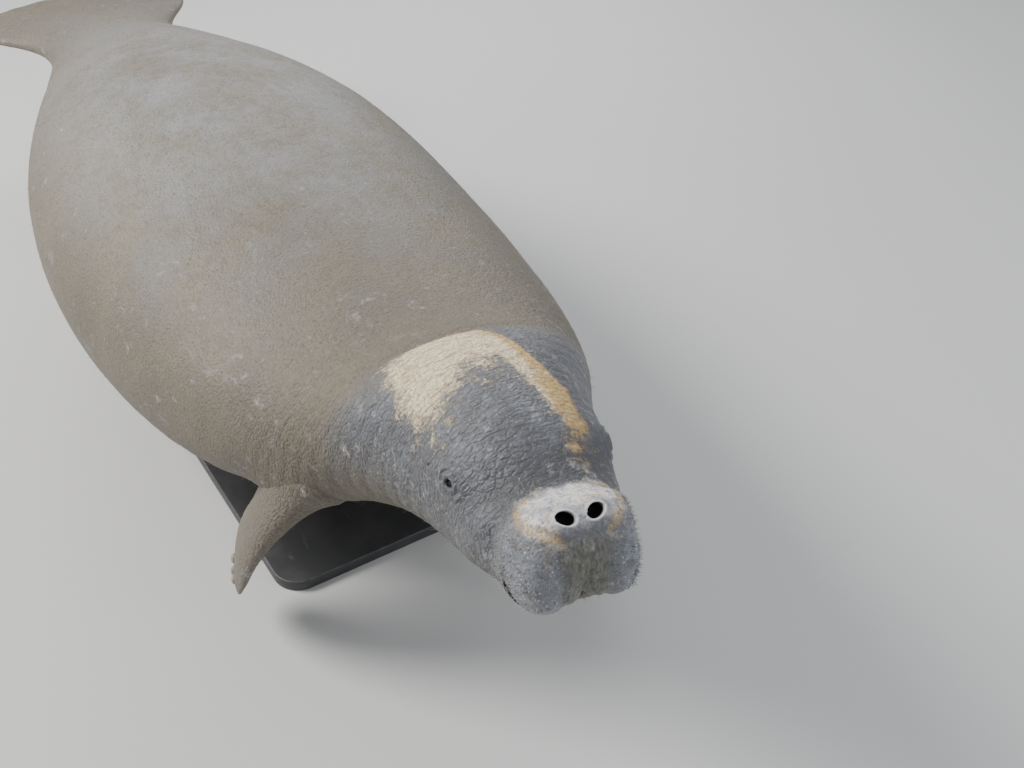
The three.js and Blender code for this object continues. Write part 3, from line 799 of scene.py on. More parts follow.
def skin_marks(points, nostril, eye, ear):
    """Soft masks over the straight body, each from 0 to 1, that the hide's colours follow.

    Each is a product of smooth steps over its edges, or a bell round a line or an opening.
    The film runs from front to back, which lie nearer the snout on the animal's left.
    """
    u, v, h = np.moveaxis(points, -1, 0)
    side = np.abs(v)
    front = 392 - 66 * rise(-v, 30, 120) - 176 * rise(v, 6, 62)
    back = 622 - 330 * rise(v, 5, 118)
    film = 0.6 * rise(u, front - 90, front + 90) + 0.4 * rise(u, front - 10, front + 120)
    film = np.maximum(film, 0.85 * rise(v, 40, 66) * rise(u, 190, 250))
    film = film * rise(h, -18, 46) * (1 - rise(u, back - 30, back + 26)) * (1 - rise(v, 84, 116))
    gold = rise(v, 34, 74) * (1 - rise(u, 430, 560)) + 0.4 * bell(u, 606, 26)
    gold = gold + 0.7 * rise(v, -20, 40) * rise(u, back - 110, back - 10) + 0.15 * rise(v, -30, 40)
    dome = (1 - rise(u, 108, 146)) * rise(h, 0, 52) * (1 - rise(side, 66, 110))
    # Partly painted sheen: the pale dome is its own colour, but it fades to 0.22 at the front so that it
    # is palest on top, where the sheen falls.
    dome = dome * (0.22 + 0.78 * rise(u, 16, 62))
    pads = (1 - rise(u, 84, 116)) * rise(side, 22, 74) * (1 - rise(h, 8, 40)) * rise(h, -130, -112)
    centre = (1 - rise(u, 60, 96)) * (1 - rise(side, 8, 74)) * (1 - rise(h, 6, 62))
    line = from_line(points, DOME_EDGE)
    stain = 0.9 * bell(line, 0, 8.5) * (0.3 + 0.7 * rise(side, 20, 50))
    stain = stain + 0.45 * bell(line, 0, 24) * rise(side, 30, 60) * (1 - rise(u, 100, 130))
    (nostril_r, nostril_near), (eye_r, eye_near), (ear_r, ear_near) = nostril, eye, ear
    # Painted shade: near black inside the nostrils, ears and eye slits, where shade falls in the
    # openings.
    opening_shade = (1 - rise(nostril_r, 0.72, 1.0)) * nostril_near
    opening_shade = np.maximum(opening_shade, (1 - rise(ear_r, 1.2, 4.0)) * ear_near * 0.8)
    eye_slit_shade = (1 - rise(eye_r, 0.85, 1.08)) * eye_near
    return {
        "crown": film,
        "gold": np.clip(gold, 0, 1),
        "dome": dome,
        "pads": pads,
        "centre": centre,
        "stain": np.clip(stain, 0, 1),
        "opening_shade": np.maximum(opening_shade, eye_slit_shade),
        "rim": bell(nostril_r, 1.14, 0.11) * nostril_near,
        "round": bell(nostril_r, 1.75, 0.7) * nostril_near,
        "lids": bell(eye_r, 1.35, 0.45) * eye_near,
    }


def body_grid(depth):
    """The straight body with folds, nostrils, lids and ears, and the masks of its skin."""
    place = ring_places()[:, None]
    angle = ring_angles()[None, :]
    points = formed(plain_skin(place, angle))
    normal = grid_normals(points)
    ends = rise(place, 0.0, 3.5) * (1 - rise(place, LAST_ROW - 1.5, LAST_ROW))
    points = points + normal * (relief(points, angle, depth) * ends)[..., None]
    close = (points[..., 0] > 560) & (points[..., 0] < 1100)
    away = np.full(points.shape[:-1], 1e6)
    away[close] = outside_flipper(to_the_left(points)[close])
    pucker = rolls(math.pi * away / 24, 0.6) * bell(away, 45, 34)
    points = points + normal * (root_lift(away) + 2.0 * depth * pucker)[..., None]
    points, nostril_r, nostril_near = with_nostrils(points)
    points, eye_r, eye_near = with_eyelids(points)
    points, ear_r, ear_near = with_ears(points)
    marks = skin_marks(points, (nostril_r, nostril_near), (eye_r, eye_near), (ear_r, ear_near))
    # Painted shade: near black inside the mouth, behind the lips.
    mouth_shade = np.broadcast_to(1 - rise(place, 2.0, 3.6), marks["opening_shade"].shape)
    marks["opening_shade"] = np.maximum(marks["opening_shade"], mouth_shade)
    return points, marks, place


# Materials


class Value:
    """A number that changes over a surface, used with the plain signs of arithmetic."""

    def __init__(self, board, socket):
        self.board = board
        self.socket = socket

    def _math(self, operation, *others):
        sockets = dict(enumerate((self, *others)))
        return self.board.value("ShaderNodeMath", {"operation": operation}, sockets)

    def __add__(self, other):
        return self._math("ADD", other)

    __radd__ = __add__

    def __mul__(self, other):
        return self._math("MULTIPLY", other)

    __rmul__ = __mul__

    def __sub__(self, other):
        return self._math("SUBTRACT", other)

    def __rsub__(self, other):
        return (self * -1) + other

    def __truediv__(self, other):
        return self._math("DIVIDE", other)

    def top(self, other):
        """The greater of two values."""
        return self._math("MAXIMUM", other)

    def rise(self, low, high):
        """A smooth step from 0 at low to 1 at high."""
        settings = {"interpolation_type": "SMOOTHSTEP"}
        return self.board.value("ShaderNodeMapRange", settings, {0: self, 1: low, 2: high})


class Board:
    """One procedural material: makes nodes, sets them and joins their sockets."""

    def __init__(self, name):
        self.material = bpy.data.materials.new(name)
        self.material.use_nodes = True
        self.tree = self.material.node_tree
        self.shader = self.tree.nodes["Principled BSDF"]

    def node(self, kind, settings=None, sockets=None):
        """A node of a type, with its settings first and then its sockets' values or links."""
        made = self.tree.nodes.new(kind)
        for name, value in (settings or {}).items():
            setattr(made, name, value)
        for key, value in (sockets or {}).items():
            self.join(made.inputs[key], value)
        return made

    def join(self, socket, value):
        """Sets a socket, or links it where the value comes from another node."""
        if isinstance(value, Value):
            value = value.socket
        if isinstance(value, bpy.types.NodeSocket):
            self.tree.links.new(value, socket)
        elif socket.type == "RGBA":
            socket.default_value = (*value[:3], 1.0)
        else:
            socket.default_value = value

    def value(self, kind, settings=None, sockets=None, output=0):
        """A node's output as a number that takes part in arithmetic."""
        return Value(self, self.node(kind, settings, sockets).outputs[output])

    def mark(self, name):
        """A number stored at each point of the mesh."""
        return self.value("ShaderNodeAttribute", {"attribute_name": name}, output=2)

    def mark_place(self, name):
        """A place stored at each point of the mesh."""
        return self.node("ShaderNodeAttribute", {"attribute_name": name}).outputs[1]

    def place(self):
        """The place in the object's own coordinates, in metres."""
        return self.node("ShaderNodeTexCoord").outputs[3]

    def stretched(self, place, scale):
        """The same place with each of its measures multiplied."""
        settings = {"operation": "MULTIPLY"}
        return self.node("ShaderNodeVectorMath", settings, {0: place, 1: scale}).outputs[0]

    def parts(self, place):
        """The three measures of a place, each as a number."""
        split = self.node("ShaderNodeSeparateXYZ", None, {0: place})
        return [Value(self, socket) for socket in split.outputs]

    def noise(self, place, scale, detail=4.0, rough=0.55, bend=0.0):
        """Soft noise round 0.5, with so many waves to the metre."""
        sockets = {"Vector": place, "Scale": scale, "Detail": detail}
        return self.value("ShaderNodeTexNoise", None, {**sockets, "Roughness": rough, "Distortion": bend})

    def cells(self, place, scale, feature="F1"):
        """Distance from the middle of the nearest random cell, or from its edge."""
        sockets = {"Vector": place, "Scale": scale}
        return self.value("ShaderNodeTexVoronoi", {"feature": feature}, sockets)

    def blend(self, share, first, second):
        """A colour between two, by a share from 0 to 1."""
        sockets = {0: share, 6: first, 7: second}
        return self.node("ShaderNodeMix", {"data_type": "RGBA"}, sockets).outputs[2]

    def finish(self, colour, roughness, height=None, depth=0.001, strength=1.0, **constant):
        """Sets the shader, with a bump from a height and its other sockets by name."""
        self.join(self.shader.inputs["Base Color"], colour)
        self.join(self.shader.inputs["Roughness"], roughness)
        for name, value in constant.items():
            self.join(self.shader.inputs[name.replace("_", " ")], value)
        if height is not None:
            sockets = {"Height": height, "Distance": depth, "Strength": strength}
            self.join(self.shader.inputs["Normal"], self.node("ShaderNodeBump", None, sockets).outputs[0])
        return self.material


# Numbers in the next functions are shares, levels of noise and, beside u and h, metres


def body_colour(board, look, place, parts, grain):
    """Taupe clouds with dark specks, a painted sky reflection in bluish grey along the back, with a few
    pale scratches.
    """
    u, _, h = parts
    clouds = (grain.broad * 0.7 + grain.drift * 0.7 - 0.35).rise(0.0, 0.7)
    colour = board.blend(clouds, look.body, look.body_dark)
    # Painted reflection: paler bluish grey over the top of the back, standing in for the sky on wet skin.
    pale = h.rise(-0.30, 0.05) * (grain.drift + u * 0.12).rise(0.42, 0.95) * u.rise(0.5, 1.5)
    colour = board.blend(pale * 0.9, colour, look.back)
    colour = board.blend((h * -1 + grain.drift * 0.12).rise(0.38, 0.70) * 0.5, colour, look.belly)
    flank = (h * -1 + grain.drift * 0.2).rise(0.10, 0.42)
    colour = board.blend(flank * 0.4, colour, look.body_dark)
    shoulder = (u * -1 + grain.drift * 0.3).rise(-0.95, -0.45)
    colour = board.blend(shoulder * 0.4, colour, look.body_dark)
    colour = board.blend(grain.mottle.rise(0.48, 0.66) * 0.45, colour, look.body_dark)
    colour = board.blend(grain.speck.rise(0.54, 0.66) * 0.55, colour, look.speckle)
    colour = board.blend((1 - grain.speck).rise(0.58, 0.70) * 0.30, colour, look.back)
    worn = board.noise(board.stretched(place, (0.5, 1.4, 1.0)), 11, 5, 0.7, 1.2)
    scratches = worn.rise(0.60, 0.66) * (1 - worn.rise(0.66, 0.74)) * grain.mottle.rise(0.40, 0.60)
    return board.blend(scratches * 0.45, colour, look.back)


def head_colour(board, look, parts, grain):
    """Dark slate with lighter clouds, fine cracks and chalky specks and scratches, and a band of painted
    shade across the bridge behind the dome.
    """
    u, _, h = parts
    shade = (grain.mottle + grain.drift * 0.6 - 0.5).rise(0.1, 0.6)
    slate = board.blend(shade, look.slate, look.slate_dark)
    slate = board.blend(grain.speck.rise(0.50, 0.64) * 0.55, slate, look.slate_dark)
    slate = board.blend((1 - grain.cracks.rise(0.0, 0.09)) * 0.45, slate, look.slate_dark)
    chalk = (1 - grain.dots).rise(0.76, 0.90) * grain.mottle.rise(0.44, 0.6) * 0.8
    chalk = chalk.top(grain.scratch.rise(0.66, 0.72) * grain.drift.rise(0.42, 0.60) * 0.6)
    chalk = chalk.top((1 - grain.mottle).rise(0.54, 0.68) * grain.ripple.rise(0.48, 0.6) * 0.75)
    slate = board.blend(chalk * 0.6, slate, look.chalk)
    # Painted shade, with partly darker wet skin: the bridge behind the dome is darkened to stand in for
    # the shadow in its hollow.
    bridge = (u + (grain.mottle - 0.5) * 0.06).rise(0.104, 0.135) * (1 - u.rise(0.160, 0.245))
    return board.blend(bridge * h.rise(-0.03, 0.03) * 0.82, slate, look.slate_dark)


def film_colour(board, look, grain):
    """Dry cream film with golden edges, and brown in its hollows and cracks."""
    gold = board.mark("gold") + (grain.drift - 0.5) * 1.2 + (grain.mottle - 0.5) * 1.8
    gold = gold.rise(0.25, 1.0)
    colour = board.blend(gold, look.cream, look.gold)
    hollow = (grain.ripple.rise(0.50, 0.62) * 0.75).top(grain.pebble.rise(0.50, 0.80) * 0.6)
    colour = board.blend(hollow, colour, look.tan)
    return board.blend((1 - grain.cracks.rise(0.0, 0.07)) * 0.5, colour, look.tan)


class Grain:
    """The noises that every colour of the hide shares."""

    def __init__(self, board, place, straight):
        self.broad = board.noise(place, 1.7, 3)
        self.drift = board.noise(place, 6.5, 5, 0.6)
        self.mottle = board.noise(place, 34, 6, 0.62)
        self.speck = board.noise(place, 185, 3, 0.6)
        self.pebble = board.cells(place, 190)
        self.dots = board.cells(place, 118)
        self.cracks = board.cells(board.stretched(straight, (1.0, 0.55, 0.6)), 88, "DISTANCE_TO_EDGE")
        across = board.stretched(straight, (1.0, 0.30, 0.36))
        self.ripple = board.noise(across, 120, 4, 0.6, 0.9)
        self.scratch = board.noise(board.stretched(straight, (0.22, 1.6, 0.6)), 80, 2, 0.5, 0.6)
        self.streaks = board.noise(board.stretched(place, (1.0, 1.0, 0.32)), 190, 4, 0.6, 0.4)


def pad_colour(board, look, grain):
    """Grey lip pads with pale dots and dark mottles."""
    colour = board.blend((1 - grain.dots).rise(0.78, 0.87) * 0.85, look.lips, look.snout)
    colour = board.blend(grain.mottle.rise(0.46, 0.64) * 0.6, colour, look.slate_dark)
    return board.blend(grain.speck.rise(0.56, 0.66) * 0.3, colour, look.muzzle_dark)


def muzzle_colour(board, look, grain):
    """Olive middle of the muzzle, with chalky dots and dark upright streaks."""
    colour = board.blend((1 - grain.dots).rise(0.76, 0.88) * 0.3, look.muzzle, look.chalk)
    return board.blend(grain.streaks.rise(0.45, 0.60) * 0.8, colour, look.muzzle_dark)


def dome_colour(board, look, place, grain):
    """Pale dome with a veil of grey and cream, greyer close round the nostrils."""
    veil = board.noise(place, 62, 4, 0.55, 0.8)
    colour = board.blend(veil.rise(0.47, 0.60) * 0.6, look.snout, look.lips)
    colour = board.blend((1 - veil).rise(0.50, 0.62) * 0.75, colour, look.cream)
    colour = board.blend(board.mark("round") * 0.5, colour, look.lips)
    return board.blend(grain.speck.rise(0.54, 0.66) * 0.5, colour, look.slate_dark)


def stain_colour(board, look, grain):
    """Rust-coloured freckles at the dome's edge: gold and tan, with cream specks."""
    tone = (grain.mottle + (grain.speck - 0.5) * 1.6).rise(0.40, 0.58)
    colour = board.blend(tone, look.gold, look.tan)
    return board.blend((1 - grain.speck).rise(0.54, 0.64) * 0.7, colour, look.cream)


class Shares:
    """How far each marking of the hide shows, from 0 to 1: its mask with a ragged edge."""

    def __init__(self, board, parts, grain):
        u, _, h = parts
        mottle, speck, drift = grain.mottle - 0.5, grain.speck - 0.5, grain.drift - 0.5
        head = (u * -1 + drift * 0.14 + mottle * 0.08).rise(-0.64, -0.50)
        self.head = head * (h + drift * 0.12).rise(-0.26, -0.04)
        self.pads = (board.mark("pads") + mottle * 1.4).rise(0.1, 0.9)
        self.centre = (board.mark("centre") + mottle * 1.8 + drift * 0.9).rise(0.05, 1.05)
        dome = board.mark("dome") + mottle * 1.5 + speck * 0.6 + drift * 0.5
        self.dome = dome.rise(0.08, 0.78)
        mask = board.mark("crown")
        film = mask + drift * 0.9 + mottle * 2.2 + (grain.ripple - 0.5) * 1.3
        film = film + speck * 1.2 + mask.rise(0.55, 1.0) * 0.3
        self.film = film.rise(0.16, 0.86) * mask.rise(0.0, 0.12)
        mask = board.mark("stain")
        self.stain = (mask + mottle * 2.6 + speck * 3.4).rise(0.45, 1.1) * mask.rise(0.0, 0.10)
        self.lids = board.mark("lids")
        self.opening_shade = board.mark("opening_shade")


def hide_colour(board, look, place, parts, grain, share):
    """The body's colour, covered by each marking in turn as far as it shows."""
    colour = body_colour(board, look, place, parts, grain)
    layers = [
        (share.head, head_colour(board, look, parts, grain)),
        (share.pads, pad_colour(board, look, grain)),
        (share.centre * 0.9, muzzle_colour(board, look, grain)),
        (share.dome * 0.95, dome_colour(board, look, place, grain)),
        (share.film * 0.95, film_colour(board, look, grain)),
        (share.stain * 0.85, stain_colour(board, look, grain)),
        (board.mark("rim") * 0.9, look.rim),
        (share.lids * 0.6, look.slate_dark),
        # Painted shade inside the nostrils, mouth, ears and eye slits.
        (share.opening_shade.rise(0.05, 0.6), look.opening_shade),
    ]
    for cover, layer in layers:
        colour = board.blend(cover, colour, layer)
    return colour


def hide_height(board, parts, grain, share):
    """Height of pores, cracks and ripples, stronger on head and film, none in openings."""
    u = parts[0]
    texture = grain.speck * 0.35 + grain.mottle * 0.9 - grain.pebble * 0.55
    wrinkles = grain.cracks.rise(0.0, 0.22) * 0.55 * (1 - share.lids.rise(0, 0.5) * 0.7)
    fine_head = u.rise(0.02, 0.16) * (u * -1).rise(-0.95, -0.60)
    height = texture * (1 - share.dome * 0.5) + wrinkles * (0.35 + fine_head * 0.65)
    height = height + grain.ripple * (0.5 + fine_head * 1.0 + share.film * 1.1)
    return (height + grain.streaks * board.mark("centre") * 1.6) * (1 - share.opening_shade)


def hide_material(look):
    """Damp grainy hide: taupe body, slate head, cream film on the nape, pale nostril dome."""
    board = Board("manatee_hide")
    place = board.place()
    straight = board.mark_place("straight")
    parts = board.parts(straight)
    grain = Grain(board, place, straight)
    share = Shares(board, parts, grain)
    colour = hide_colour(board, look, place, parts, grain, share)
    dry = share.film.top(share.stain * 0.6)
    roughness = 0.46 - share.head * 0.06 + grain.mottle * 0.2 + dry * 0.36
    roughness = (roughness - share.dome * 0.04 + share.opening_shade * 0.2).rise(0, 1)
    height = hide_height(board, parts, grain, share)
    return board.finish(colour, roughness, height, 0.0026, 0.85, Specular_IOR_Level=0.5)


def eye_material(look):
    """A wet dark eye: a black pupil in a brown iris, muddy white beyond it."""
    board = Board("manatee_eye")
    place = board.place()
    away = board.mark("from_axis")
    fibres = board.noise(place, 900, 3, 0.6)
    iris = board.blend((away / IRIS + (fibres - 0.5) * 0.4).rise(0.3, 0.9), look.iris, look.iris_dark)
    colour = board.blend(away.rise(*PUPIL), look.opening_shade, iris)
    edge = (away + (fibres - 0.5) * 1.2).rise(IRIS - 0.2, IRIS + 1.2)
    colour = board.blend(edge, colour, look.eye_edge)
    return board.finish(colour, fibres * 0.05 + 0.05, fibres, 0.0001, 0.15, Specular_IOR_Level=0.3)


def nail_material(look):
    """Pale horn with fine lengthwise lines and a stained root."""
    board = Board("manatee_nail")
    place = board.place()
    lines = board.noise(board.stretched(place, (1.0, 1.0, 0.15)), 420, 3)
    cloudy = board.noise(place, 90, 3)
    colour = board.blend(lines.rise(0.4, 0.65) * 0.6, look.nail, look.nail_dark)
    colour = board.blend(cloudy.rise(0.5, 0.7) * 0.5, colour, look.nail_dark)
    return board.finish(colour, cloudy * 0.2 + 0.3, lines, 0.0004, 0.6)


def bristle_material(look, name, pale):
    """Stiff hair, darker at the root and paler at the tip."""
    board = Board(name)
    along = board.mark("along")
    tint = board.noise(board.place(), 60, 2)
    colour = board.blend((along + (tint - 0.5) * 0.6).rise(0.0, 0.9), look.bristle_root, pale)
    return board.finish(colour, tint * 0.1 + 0.4)


def base_material(look):
    """Dark satin paint on board: faint roller texture, dust and paler worn edges."""
    board = Board("stand_paint")
    place = board.place()
    _, _, z = board.parts(place)
    roller = board.noise(place, 420, 3)
    dust = board.noise(place, 5, 5, 0.6)
    scuffs = board.noise(board.stretched(place, (0.35, 1.0, 1.0)), 42, 4, 0.65)
    colour = board.blend(dust.rise(0.4, 0.7) * 0.35, look.base, look.base_dust)
    colour = board.blend(scuffs.rise(0.64, 0.72) * 0.35, colour, look.base_dust)
    worn = z.rise(0.0262, 0.0298) * (1 - z.rise(0.02985, 0.0300)) * scuffs.rise(0.42, 0.62)
    colour = board.blend(worn * 0.6, colour, look.base_dust)
    return board.finish(colour, dust * 0.2 + 0.38, roller, 0.0003, 0.5)


def rod_material(look):
    """Turned steel: fine rings round the rod and soft smudges."""
    board = Board("stand_steel")
    place = board.place()
    rings = board.noise(board.stretched(place, (0.05, 0.05, 1.0)), 900, 3)
    smudge = board.noise(place, 30, 4)
    colour = board.blend(smudge.rise(0.35, 0.7) * 0.5, look.steel, look.steel_dark)
    return board.finish(colour, rings * 0.14 + smudge * 0.16 + 0.2, rings, 0.0002, 0.4, Metallic=1.0)


# Hairs


def grid_roots(grid, weight, count, seed):
    """Random roots on a posed grid, drawn in step with a weight times the area round them.

    The pose turns the grid over, so its outward directions change their sign. Returns
    the roots, the outward and backward directions, places on the flat map and the draws.
    """
    rings, around = grid.shape[:2]
    along = np.linalg.norm(np.diff(grid, axis=0), axis=-1)
    step = np.linalg.norm(np.roll(grid, -1, axis=1) - grid, axis=-1)[:-1]
    chance = (along * step * weight[:-1]).ravel()
    draws = np.random.default_rng(seed)
    cell = draws.choice(len(chance), size=count, p=chance / chance.sum())
    f, g = draws.random(count)[:, None], draws.random(count)[:, None]
    k, i = cell // around, cell % around
    j = (i + 1) % around
    normal = -grid_normals(grid)

    def between(values):
        near = values[k, i] * (1 - g) + values[k, j] * g
        far = values[k + 1, i] * (1 - g) + values[k + 1, j] * g
        return near * (1 - f) + far * f

    back = unit(grid[k + 1, i] - grid[k, i])
    flat = np.concatenate([(i[:, None] + g) / around, (k[:, None] + 1 + f) / (rings + 1)], axis=1)
    return between(grid), unit(between(normal)), back, flat, draws


def hair_points(root, normal, back, draws, length, hair):
    """Rings of points along each hair, from its root, and then its tip.

    A hair's line is root + L(s n + lean s^2 b) with s from 0 to 1, n the outward and b the
    backward direction, and its radius falls as (1 - s)^0.7.
    """
    count, radius, lean = len(root), hair["radius"], hair["lean"]
    long = length * (0.6 + 0.8 * draws.random((count, 1, 1, 1)))
    stray = unit(normal + 0.35 * draws.normal(size=(count, 3)))
    s = (np.arange(HAIR_STEPS) / HAIR_STEPS)[None, :, None, None]
    turn = (2 * math.pi * np.arange(HAIR_SIDES) / HAIR_SIDES)[None, None, :, None]
    across = unit(np.cross(stray, back))
    other = np.cross(stray, across)
    spread = across[:, None, None, :] * np.cos(turn) + other[:, None, None, :] * np.sin(turn)
    out, away = stray[:, None, None, :], back[:, None, None, :]
    sunk = root - normal * radius
    line = sunk[:, None, None, :] + long * (s * out + lean * s**2 * away)
    body = line + spread * radius * (1 - s) ** 0.7
    tip = root + long[:, 0, 0] * (stray + lean * back)
    return np.concatenate([body.reshape(count, -1, 3), tip[:, None, :]], axis=1)


def hair_faces():
    """One hair's quads between its rings, its triangles to the tip, and its root's face."""
    last = (HAIR_STEPS - 1) * HAIR_SIDES
    quads, _ = tube_faces(HAIR_STEPS, HAIR_SIDES, 0)
    tips, _ = fan_faces(last + HAIR_SIDES, last, HAIR_SIDES, (0, 0), flip=True)
    return [quads, tips, np.arange(HAIR_SIDES)[None, ::-1]]


def hair_mesh(name, grid, weight, count, length, hair):
    """Tapered hairs that stand on a skin grid and bend back, as one mesh.

    Each has its own small patch of the flat map at its root's place.
    """
    root, normal, back, flat, draws = grid_roots(grid, weight, count, hair["seed"])
    points = hair_points(root, normal, back, draws, length, hair)
    starts = (np.arange(count) * points.shape[1])[:, None, None]
    patch = np.array([[0, 0], [1, 0], [1, 1], [0, 1]]) * HAIR_PATCH - HAIR_PATCH / 2
    faces, uv = [], []
    for kind in hair_faces():
        corners = kind.shape[1]
        faces.append((kind + starts).reshape(-1, corners))
        uv.append(np.broadcast_to(flat[:, None, None, :] + patch[:corners], (count, *kind.shape, 2)))
    along = np.append(np.repeat(np.arange(HAIR_STEPS) / HAIR_STEPS, HAIR_SIDES), 1.0)
    surface = Surface()
    surface.add(points, faces, uv, {"along": np.tile(along, count)})
    return surface.mesh(name)


# Properties


def colour_property(name, description, value):
    """A colour that a user would change, as linear red, green and blue."""
    return bpy.props.FloatVectorProperty(
        name=name, description=description, default=value, subtype="COLOR", size=3, min=0, max=1
    )


def length_property(name, description, value):
    """A length that a user would change, in metres."""
    return bpy.props.FloatProperty(
        name=name, description=description, default=value, unit="LENGTH", min=0
    )


class ManateeSizes(bpy.types.PropertyGroup):
    """Sizes that a user would change."""

    fold_depth: bpy.props.FloatProperty(
        name="Fold depth",
        description="Depth of the skin's folds against life",
        default=1.0,
        subtype="FACTOR",
    )
    bristle_length: length_property("Bristle length", "Length of the stiff hairs on the lips", 0.0095)
    bristle_count: bpy.props.IntProperty(
        name="Bristles", description="How many stiff hairs stand on the muzzle", default=900
    )
    hair_length: length_property("Hair length", "Length of the sparse hairs on the body", 0.012)
    hair_count: bpy.props.IntProperty(
        name="Hairs", description="How many sparse hairs stand on the body", default=3600
    )


class ManateeColours(bpy.types.PropertyGroup):
    """Colours of the hide, eyes, nails and hairs."""

    body: colour_property("Body", "Taupe of the flanks", (0.222, 0.188, 0.134))
    body_dark: colour_property("Body, dark", "Darker clouds on the body", (0.118, 0.099, 0.072))
    # Painted reflection: this paler bluish grey stands in for the sky reflected along the wet back; it
    # also colours real pale specks and scratches.
    back: colour_property("Back", "Paler bluish grey along the back", (0.300, 0.298, 0.305))
    belly: colour_property("Belly", "Warm grey of the underside", (0.270, 0.240, 0.212))
    speckle: colour_property("Speckle", "Fine dark specks", (0.060, 0.052, 0.042))
    slate: colour_property("Crown", "Slate blue-grey of the head", (0.172, 0.178, 0.196))
    slate_dark: colour_property("Crown, dark", "Darker slate", (0.070, 0.070, 0.076))
    chalk: colour_property("Chalk marks", "Whitish specks and scratches", (0.480, 0.490, 0.510))
    cream: colour_property("Film", "Dry cream film on the nape", (0.940, 0.790, 0.550))
    gold: colour_property("Film, golden", "Golden film at its edges", (0.720, 0.485, 0.190))
    tan: colour_property("Film, tan", "Tan hollows of the film", (0.340, 0.250, 0.150))
    # Partly painted sheen: the dome's pale lilac grey is partly its own colour and partly raised to stand
    # in for the light on its wet top.
    snout: colour_property("Snout", "Pale lilac grey round the nostrils", (0.720, 0.700, 0.730))
    rim: colour_property("Nostril rim", "Whitish edge of the nostrils", (0.800, 0.780, 0.780))
    lips: colour_property("Lips", "Grey of the lip pads", (0.225, 0.235, 0.265))
    muzzle: colour_property("Muzzle", "Olive grey between the lip pads", (0.160, 0.155, 0.125))
    muzzle_dark: colour_property("Muzzle, dark", "Darker lines between the pads", (0.070, 0.068, 0.058))
    # Painted shade: near black standing in for the shade inside nostrils, mouth, ears and eye slits; the
    # eyes also use it for the pupil.
    opening_shade: colour_property("Openings", "Inside of nostrils and mouth", (0.010, 0.009, 0.009))
    iris: colour_property("Iris", "Brown of the iris", (0.026, 0.014, 0.008))
    iris_dark: colour_property("Iris, dark", "Outer edge of the iris", (0.008, 0.006, 0.005))
    eye_edge: colour_property("Eye edge", "Muddy white beyond the iris", (0.085, 0.066, 0.058))
    nail: colour_property("Nails", "Pale horn", (0.330, 0.280, 0.200))
    nail_dark: colour_property("Nails, dark", "Stained horn", (0.160, 0.130, 0.092))
    bristle_root: colour_property("Bristle root", "Root of the stiff hairs", (0.140, 0.130, 0.120))
    bristle: colour_property("Bristle", "Tip of the stiff hairs", (0.560, 0.530, 0.480))
    hair: colour_property("Hair", "Tip of the body's hairs", (0.420, 0.380, 0.310))


class StandColours(bpy.types.PropertyGroup):
    """Colours of the display stand and the studio."""

    base: colour_property("Base", "Dark paint of the base", (0.036, 0.037, 0.040))
    base_dust: colour_property("Base, worn", "Dust and wear on the paint", (0.110, 0.108, 0.104))
    steel: colour_property("Rods", "Turned steel", (0.560, 0.560, 0.570))
    steel_dark: colour_property("Rods, dark", "Smudged steel", (0.330, 0.330, 0.340))
    floor: colour_property("Floor", "Pale studio floor", (0.640, 0.640, 0.630))


# Operators


class MANATEE_OT_skin(bpy.types.Operator):
    """Build the one skin of head, body, tail and flippers"""

    bl_idname = "manatee.skin"
    bl_label = "Skin"

    def execute(self, context):
        sizes = context.scene.manatee_sizes
        points, marks, _ = body_grid(sizes.fold_depth)
        surface = Surface()
        poles = [plain_skin(np.array([at]), np.zeros(1))[0] for at in (0.0, float(LAST_ROW))]
        flat = {
            name: np.concatenate([values.ravel(), values[[0, -1], 0]]) for name, values in marks.items()
        }
        flat["straight"] = np.concatenate([points.reshape(-1, 3), poles]) * MM
        window = MAP_WINDOWS["body"]
        surface.add_tube(posed(points), posed(np.array(poles)), window=window, flip=True, marks=flat)
        for side in (1, -1):
            self.add_flipper(surface, side, sizes.fold_depth, list(marks))
        hide = hide_material(context.scene.manatee_colours)
        add_piece(surface.mesh("manatee_skin"), hide, "hide", *FLESH)
        return {"FINISHED"}

    def add_flipper(self, surface, side, depth, names):
        """Adds one flipper to the skin, as one stiff piece from its root, with no marks."""
        grid = flipper_grid(depth)
        root = np.array(FLIPPER_ROWS[FLIPPER_ROOT][:3], float) * [1, side, 1]
        tip = np.array(FLIPPER_ROWS[-1][:3], float)
        start = np.array(FLIPPER_ROWS[0][:3], float)
        poles = mirrored(np.stack([start, tip]), side)
        points = mirrored(grid, side)
        flat = {name: np.zeros(points.shape[0] * points.shape[1] + 2) for name in names}
        flat["straight"] = np.concatenate([points.reshape(-1, 3), poles]) * MM
        surface.add_tube(
            posed_stiff(points, root),
            posed_stiff(poles, root),
            window=MAP_WINDOWS[side],
            flip=side > 0,
            marks=flat,
        )


